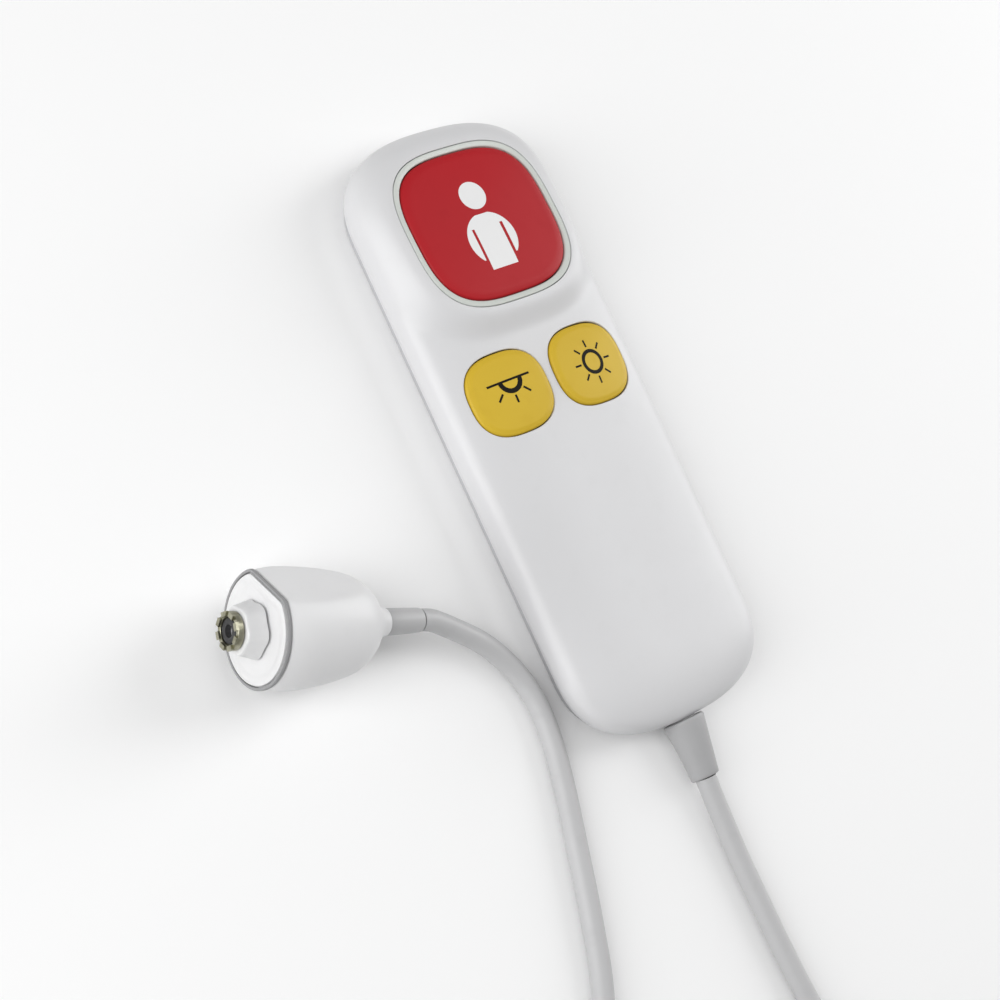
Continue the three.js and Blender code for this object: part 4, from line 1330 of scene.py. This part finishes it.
@dataclass
class WallPlug:
    """The round plug: body with one flat, seal, face, nose and contacts."""

    place: tuple[float, float, float] = (-90.8, -17.45, 13.6)
    heading: float = 164.0
    pitch: float = 7.3
    radius: float = 11.9
    flat_share: float = 0.84
    flat_angle: float = 137.0
    profile: tuple[tuple[float, float], ...] = (
        (-1.2, 11.5), (-1.22, 11.7), (-1.35, 11.86), (-1.6, 11.95), (-2.5, 12.12), (-4.0, 12.35),
        (-6.0, 12.5), (-8.5, 12.42), (-11.0, 12.22), (-13.5, 11.93), (-16.0, 11.52), (-18.0, 11.1),
        (-19.8, 10.66), (-21.5, 10.1),
        (-23.0, 9.3), (-24.4, 8.35), (-25.6, 7.3), (-26.6, 6.1), (-27.6, 4.9), (-28.5, 3.95), (-29.4, 3.36),
        (-30.3, 3.04), (-31.0, 2.88), (-31.2, 2.7))

    def matrix(self) -> Matrix:
        """The plug's place in the handset's frame.

        Returns:
            The matrix, in millimetres.
        """
        turn = Euler((0.0, math.radians(-self.pitch), 0.0)).to_matrix().to_4x4()
        heading = Matrix.Rotation(math.radians(self.heading), 4, "Z")
        return Matrix.Translation(self.place) @ heading @ turn

    def flatted_ring(self, along: float, radius: float, flat: float, round_off: float = 0.25,
                     sides: int = 144) -> Ring:
        """A circle with one flat.

        Args:
            along: place along the plug.
            radius: the circle's radius.
            flat: the flat's distance from the middle.
            round_off: how soft the flat's corners are.
            sides: points around.

        Returns:
            The ring.
        """
        ring = []
        middle = math.radians(self.flat_angle)
        for i in range(sides):
            turn = 2 * math.pi * i / sides
            toward = math.cos(turn - middle)
            reach = radius
            if toward > 0.2:
                limit = flat / toward
                soft = round_off * math.exp(-abs(limit - radius) / round_off) * 0.5
                reach = min(radius, limit) - soft
            ring.append(Vector((along, reach * math.cos(turn), reach * math.sin(turn))))
        return ring

    def body(self) -> Mesh:
        """The moulded body.

        Returns:
            Points and faces.
        """
        flat = self.radius * self.flat_share
        rings = []
        for x, r in self.profile:
            step = min(0.0, r - self.radius) if x > -2 else 0.0
            rings.append(self.flatted_ring(x, r, flat + step))
        return skin(rings)

    def seal(self) -> Mesh:
        """The grey seal round the face.

        Returns:
            Points and faces.
        """
        flat = self.radius * self.flat_share
        section = [(-0.9, -0.5), (-0.9, 0.05), (-0.75, 0.15), (-0.3, 0.15), (-0.12, 0.0), (-0.1, -0.4),
                   (-0.2, -0.5)]
        return skin([self.flatted_ring(x, self.radius + o, flat + o) for x, o in section], closed=True)

    def face(self) -> Mesh:
        """The face plate with a shallow dish round the nose.

        Returns:
            Points and faces.
        """
        flat = self.radius * self.flat_share
        section = [(-0.9, -0.8), (-0.2, -0.8), (-0.06, -0.86), (0.0, -1.02), (0.0, -2.3), (-0.12, -2.6),
                   (-0.18, -3.2), (-0.18, -6.0)]
        return skin([self.flatted_ring(x, self.radius + o, flat + o) for x, o in section])

    def nose(self) -> Mesh:
        """The six-lobed nose.

        Returns:
            Points and faces.
        """
        rings = []
        section = [(0.3, 5.6), (0.42, 5.78), (0.7, 5.74), (1.4, 5.52), (2.6, 5.2), (3.7, 4.92), (4.15, 4.78),
                   (4.33, 4.62), (4.4, 4.4), (4.4, 4.15)]
        for x, radius in section:
            ring = []
            for i in range(108):
                turn = 2 * math.pi * i / 108
                reach = radius * (1 + 0.045 * math.cos(6 * turn))
                ring.append(Vector((x, reach * math.cos(turn), reach * math.sin(turn))))
            rings.append(ring)
        return skin(rings)

    def build(self) -> list[object]:
        """Builds and dresses the plug.

        Returns:
            Its pieces.
        """
        at = self.matrix()
        ring = turned([(4.7, 2.95), (4.7, 3.85), (4.75, 3.9), (5.95, 3.9), (6.0, 3.85), (6.0, 2.95),
                       (5.95, 2.9), (4.75, 2.9)], 64, closed=True)
        carrier = turned([(4.7, 1.3), (5.9, 1.3), (6.0, 1.45), (6.0, 2.3), (5.85, 2.5), (4.7, 2.5)], 48,
                         closed=True)
        sleeve = turned([(-31.22, 2.3), (-31.22, 2.72), (-31.6, 2.84), (-34.0, 2.78), (-37.0, 2.68),
                         (-39.4, 2.58), (-39.8, 2.5), (-39.9, 2.35)], 48)
        plan = [
            ("plug_shell", self.body(), PLUG_SHELL, "plug_body", "plug_plastic"),
            ("plug_seal", self.seal(), GREY_SEAL, "plug_gasket", "seal_rubber"),
            ("plug_front", self.face(), PLUG_FACE, "plug_face", "plug_plastic"),
            ("plug_spigot", self.nose(), PLUG_FACE, "plug_nose", "plug_plastic"),
            ("contact_insulator", carrier, BLACK_PLASTIC, "contact_carrier", "black_plastic"),
            ("plug_cable_sleeve", sleeve, CABLE_JACKET, "plug_sleeve", "boot_rubber"),
            ("contact_crown", ring, CONTACT_METAL, "contact_ring", "contact_brass"),
        ]
        pieces = []
        for name, mesh, finish, node, slot in plan:
            if name == "contact_crown":
                piece = make_piece(name, mesh, finish)
                sizes = {"Teeth": 8, "Radius": 0.0034, "Wall": 0.00096, "Width": 0.0016, "Height": 0.0007,
                         "Place": 0.00615}
                crown_pattern(finish, sizes).apply(piece)
                piece.data.transform(Matrix.Translation(at.translation * MM) @ at.to_3x3().to_4x4())
            else:
                piece = make_piece(name, placed(mesh, at), finish, 42.0)
            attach(piece, ROOT)
            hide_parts(node)
            LOG.info("%s: %d faces", name, len(piece.data.polygons))
            pieces.append(piece)
        return pieces


# Inner parts and studio


@dataclass
class InnerParts:
    """The CAD nodes inside the housing, which keep their shape and get a finish."""

    finishes: dict[str, Finish] = field(default_factory=lambda: {
        "circuit_board": BOARD_RESIN, "cable_header": BLACK_PLASTIC, "signal_wires": WIRE_SLEEVE,
        "inner_cable": CABLE_JACKET, "cable_clamp": SCREW_STEEL, "shell_gasket": SOFT_SEAL,
        "call_lamp_left": LAMP_RESIN, "call_lamp_right": LAMP_RESIN,
    })

    def build(self) -> None:
        """Gives every remaining CAD node its finish."""
        for name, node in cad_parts.items():
            finish = self.finishes.get(name)
            if finish is None and "switch" in name:
                finish = BLACK_PLASTIC
            if finish is None and ("screw" in name or "plunger" in name):
                finish = SCREW_STEEL
            if finish is None:
                continue
            node.data.materials.clear()
            node.data.materials.append(finish.make())
            LOG.info("%s: %s", name, finish.name)


@dataclass
class Studio:
    """Floor, lights and the camera at the photograph's angle."""

    eye: tuple[float, float, float] = (-0.297698, -0.044593, 0.416912)
    right: tuple[float, float, float] = (0.76012, -0.41824, 0.49728)
    up: tuple[float, float, float] = (0.30962, 0.90597, 0.2887)
    back: tuple[float, float, float] = (-0.57127, -0.06548, 0.81815)

    def camera(self) -> None:
        """Places the long-lens camera."""
        data = bpy.data.cameras.new("photo_camera")
        data.lens = 82.8
        data.sensor_width = 36.0
        data.shift_x = -0.0338
        data.shift_y = -0.0124
        data.clip_start = 0.01
        camera = bpy.data.objects.new("photo_camera", data)
        turn = Matrix((self.right, self.up, self.back)).transposed().to_4x4()
        camera.matrix_world = Matrix.Translation(self.eye) @ turn
        bpy.context.scene.collection.objects.link(camera)
        bpy.context.scene.camera = camera

    def floor(self) -> None:
        """A wide pale floor."""
        data = bpy.data.meshes.new("studio_floor")
        data.from_pydata([(-4, -4, 0), (4, -4, 0), (4, 4, 0), (-4, 4, 0)], [], [(0, 1, 2, 3)])
        material = bpy.data.materials.new("studio paper")
        material.use_nodes = True
        shader = material.node_tree.nodes["Principled BSDF"]
        shader.inputs["Base Color"].default_value = (0.95, 0.95, 0.95, 1.0)
        shader.inputs["Roughness"].default_value = 0.9
        shader.inputs["Specular IOR Level"].default_value = 0.1
        data.materials.append(material)
        floor = bpy.data.objects.new("studio_floor", data)
        bpy.context.scene.collection.objects.link(floor)

    def lamp(self, name: str, place: Sequence[float], target: Sequence[float], size: tuple[float, float],
             power: float) -> None:
        """One soft area light.

        Args:
            name: its name.
            place: where it hangs.
            target: where it points.
            size: its two sides.
            power: its power in watts.
        """
        data = bpy.data.lights.new(name, "AREA")
        data.shape = "RECTANGLE"
        data.size, data.size_y = size
        data.energy = power
        lamp = bpy.data.objects.new(name, data)
        aim = (Vector(target) - Vector(place)).to_track_quat("-Z", "Y")
        lamp.matrix_world = Matrix.Translation(place) @ aim.to_matrix().to_4x4()
        bpy.context.scene.collection.objects.link(lamp)

    def build(self) -> None:
        """Builds the studio."""
        self.camera()
        self.floor()
        world = bpy.data.worlds.new("studio")
        world.use_nodes = True
        world.node_tree.nodes["Background"].inputs["Color"].default_value = (1.0, 1.0, 1.0, 1.0)
        world.node_tree.nodes["Background"].inputs["Strength"].default_value = 0.31
        bpy.context.scene.world = world
        self.lamp("left_strip", (-0.78, 0.1, 0.24), (0, 0, 0.0), (0.45, 1.3), 8.2)
        self.lamp("right_strip", (0.78, 0.0, 0.26), (0, 0, 0.0), (0.45, 1.3), 6.6)
        self.lamp("top_soft", (0.1, 0.1, 1.3), (0, 0, 0.0), (1.0, 1.0), 2.6)
        bpy.context.scene.view_settings.view_transform = "Standard"


def buttons_of(form: Pillow) -> list[PushButton]:
    """The three push buttons, the call button first.

    Args:
        form: the handset's form, whose platform the call button stands on.

    Returns:
        The buttons.
    """
    def tilted(side: int) -> Callable[[float, float], float]:
        """The plane of a light button on one side."""
        return lambda x, y: 14.05 - 0.09 * (side * x - 11.4)

    call = PushButton("call", "call_push", Icon.PERSON, (0.0, form.call_y), form.call_half, form.call_power,
                      1.0, 5.05, RED_CAP, "button_red", form.plane)
    lights = [
        PushButton(name, f"{name}_push", icon, (side * 11.4, 8.65), (10.1, 9.25), 2.65, 0.8, 4.1, YELLOW_CAP,
                   "button_yellow", tilted(side))
        for name, icon, side in (("reading_light", Icon.CEILING_LAMP, -1), ("room_light", Icon.ROOM_LAMP, 1))
    ]
    return [call, *lights]


def main() -> None:
    """Builds the studio, the cable, the plug and the handset, in that order."""
    logging.basicConfig(level=logging.INFO, format="%(name)s %(message)s")
    Studio().build()
    plug_pieces = WallPlug().build()
    Cable().build(plug_pieces)
    housing = Housing()
    buttons = buttons_of(housing.form)
    housing.build(buttons)
    LightRing(housing.form).build()
    for button in buttons:
        button.build()
    InnerParts().build()


if __name__ == "__main__":
    main()
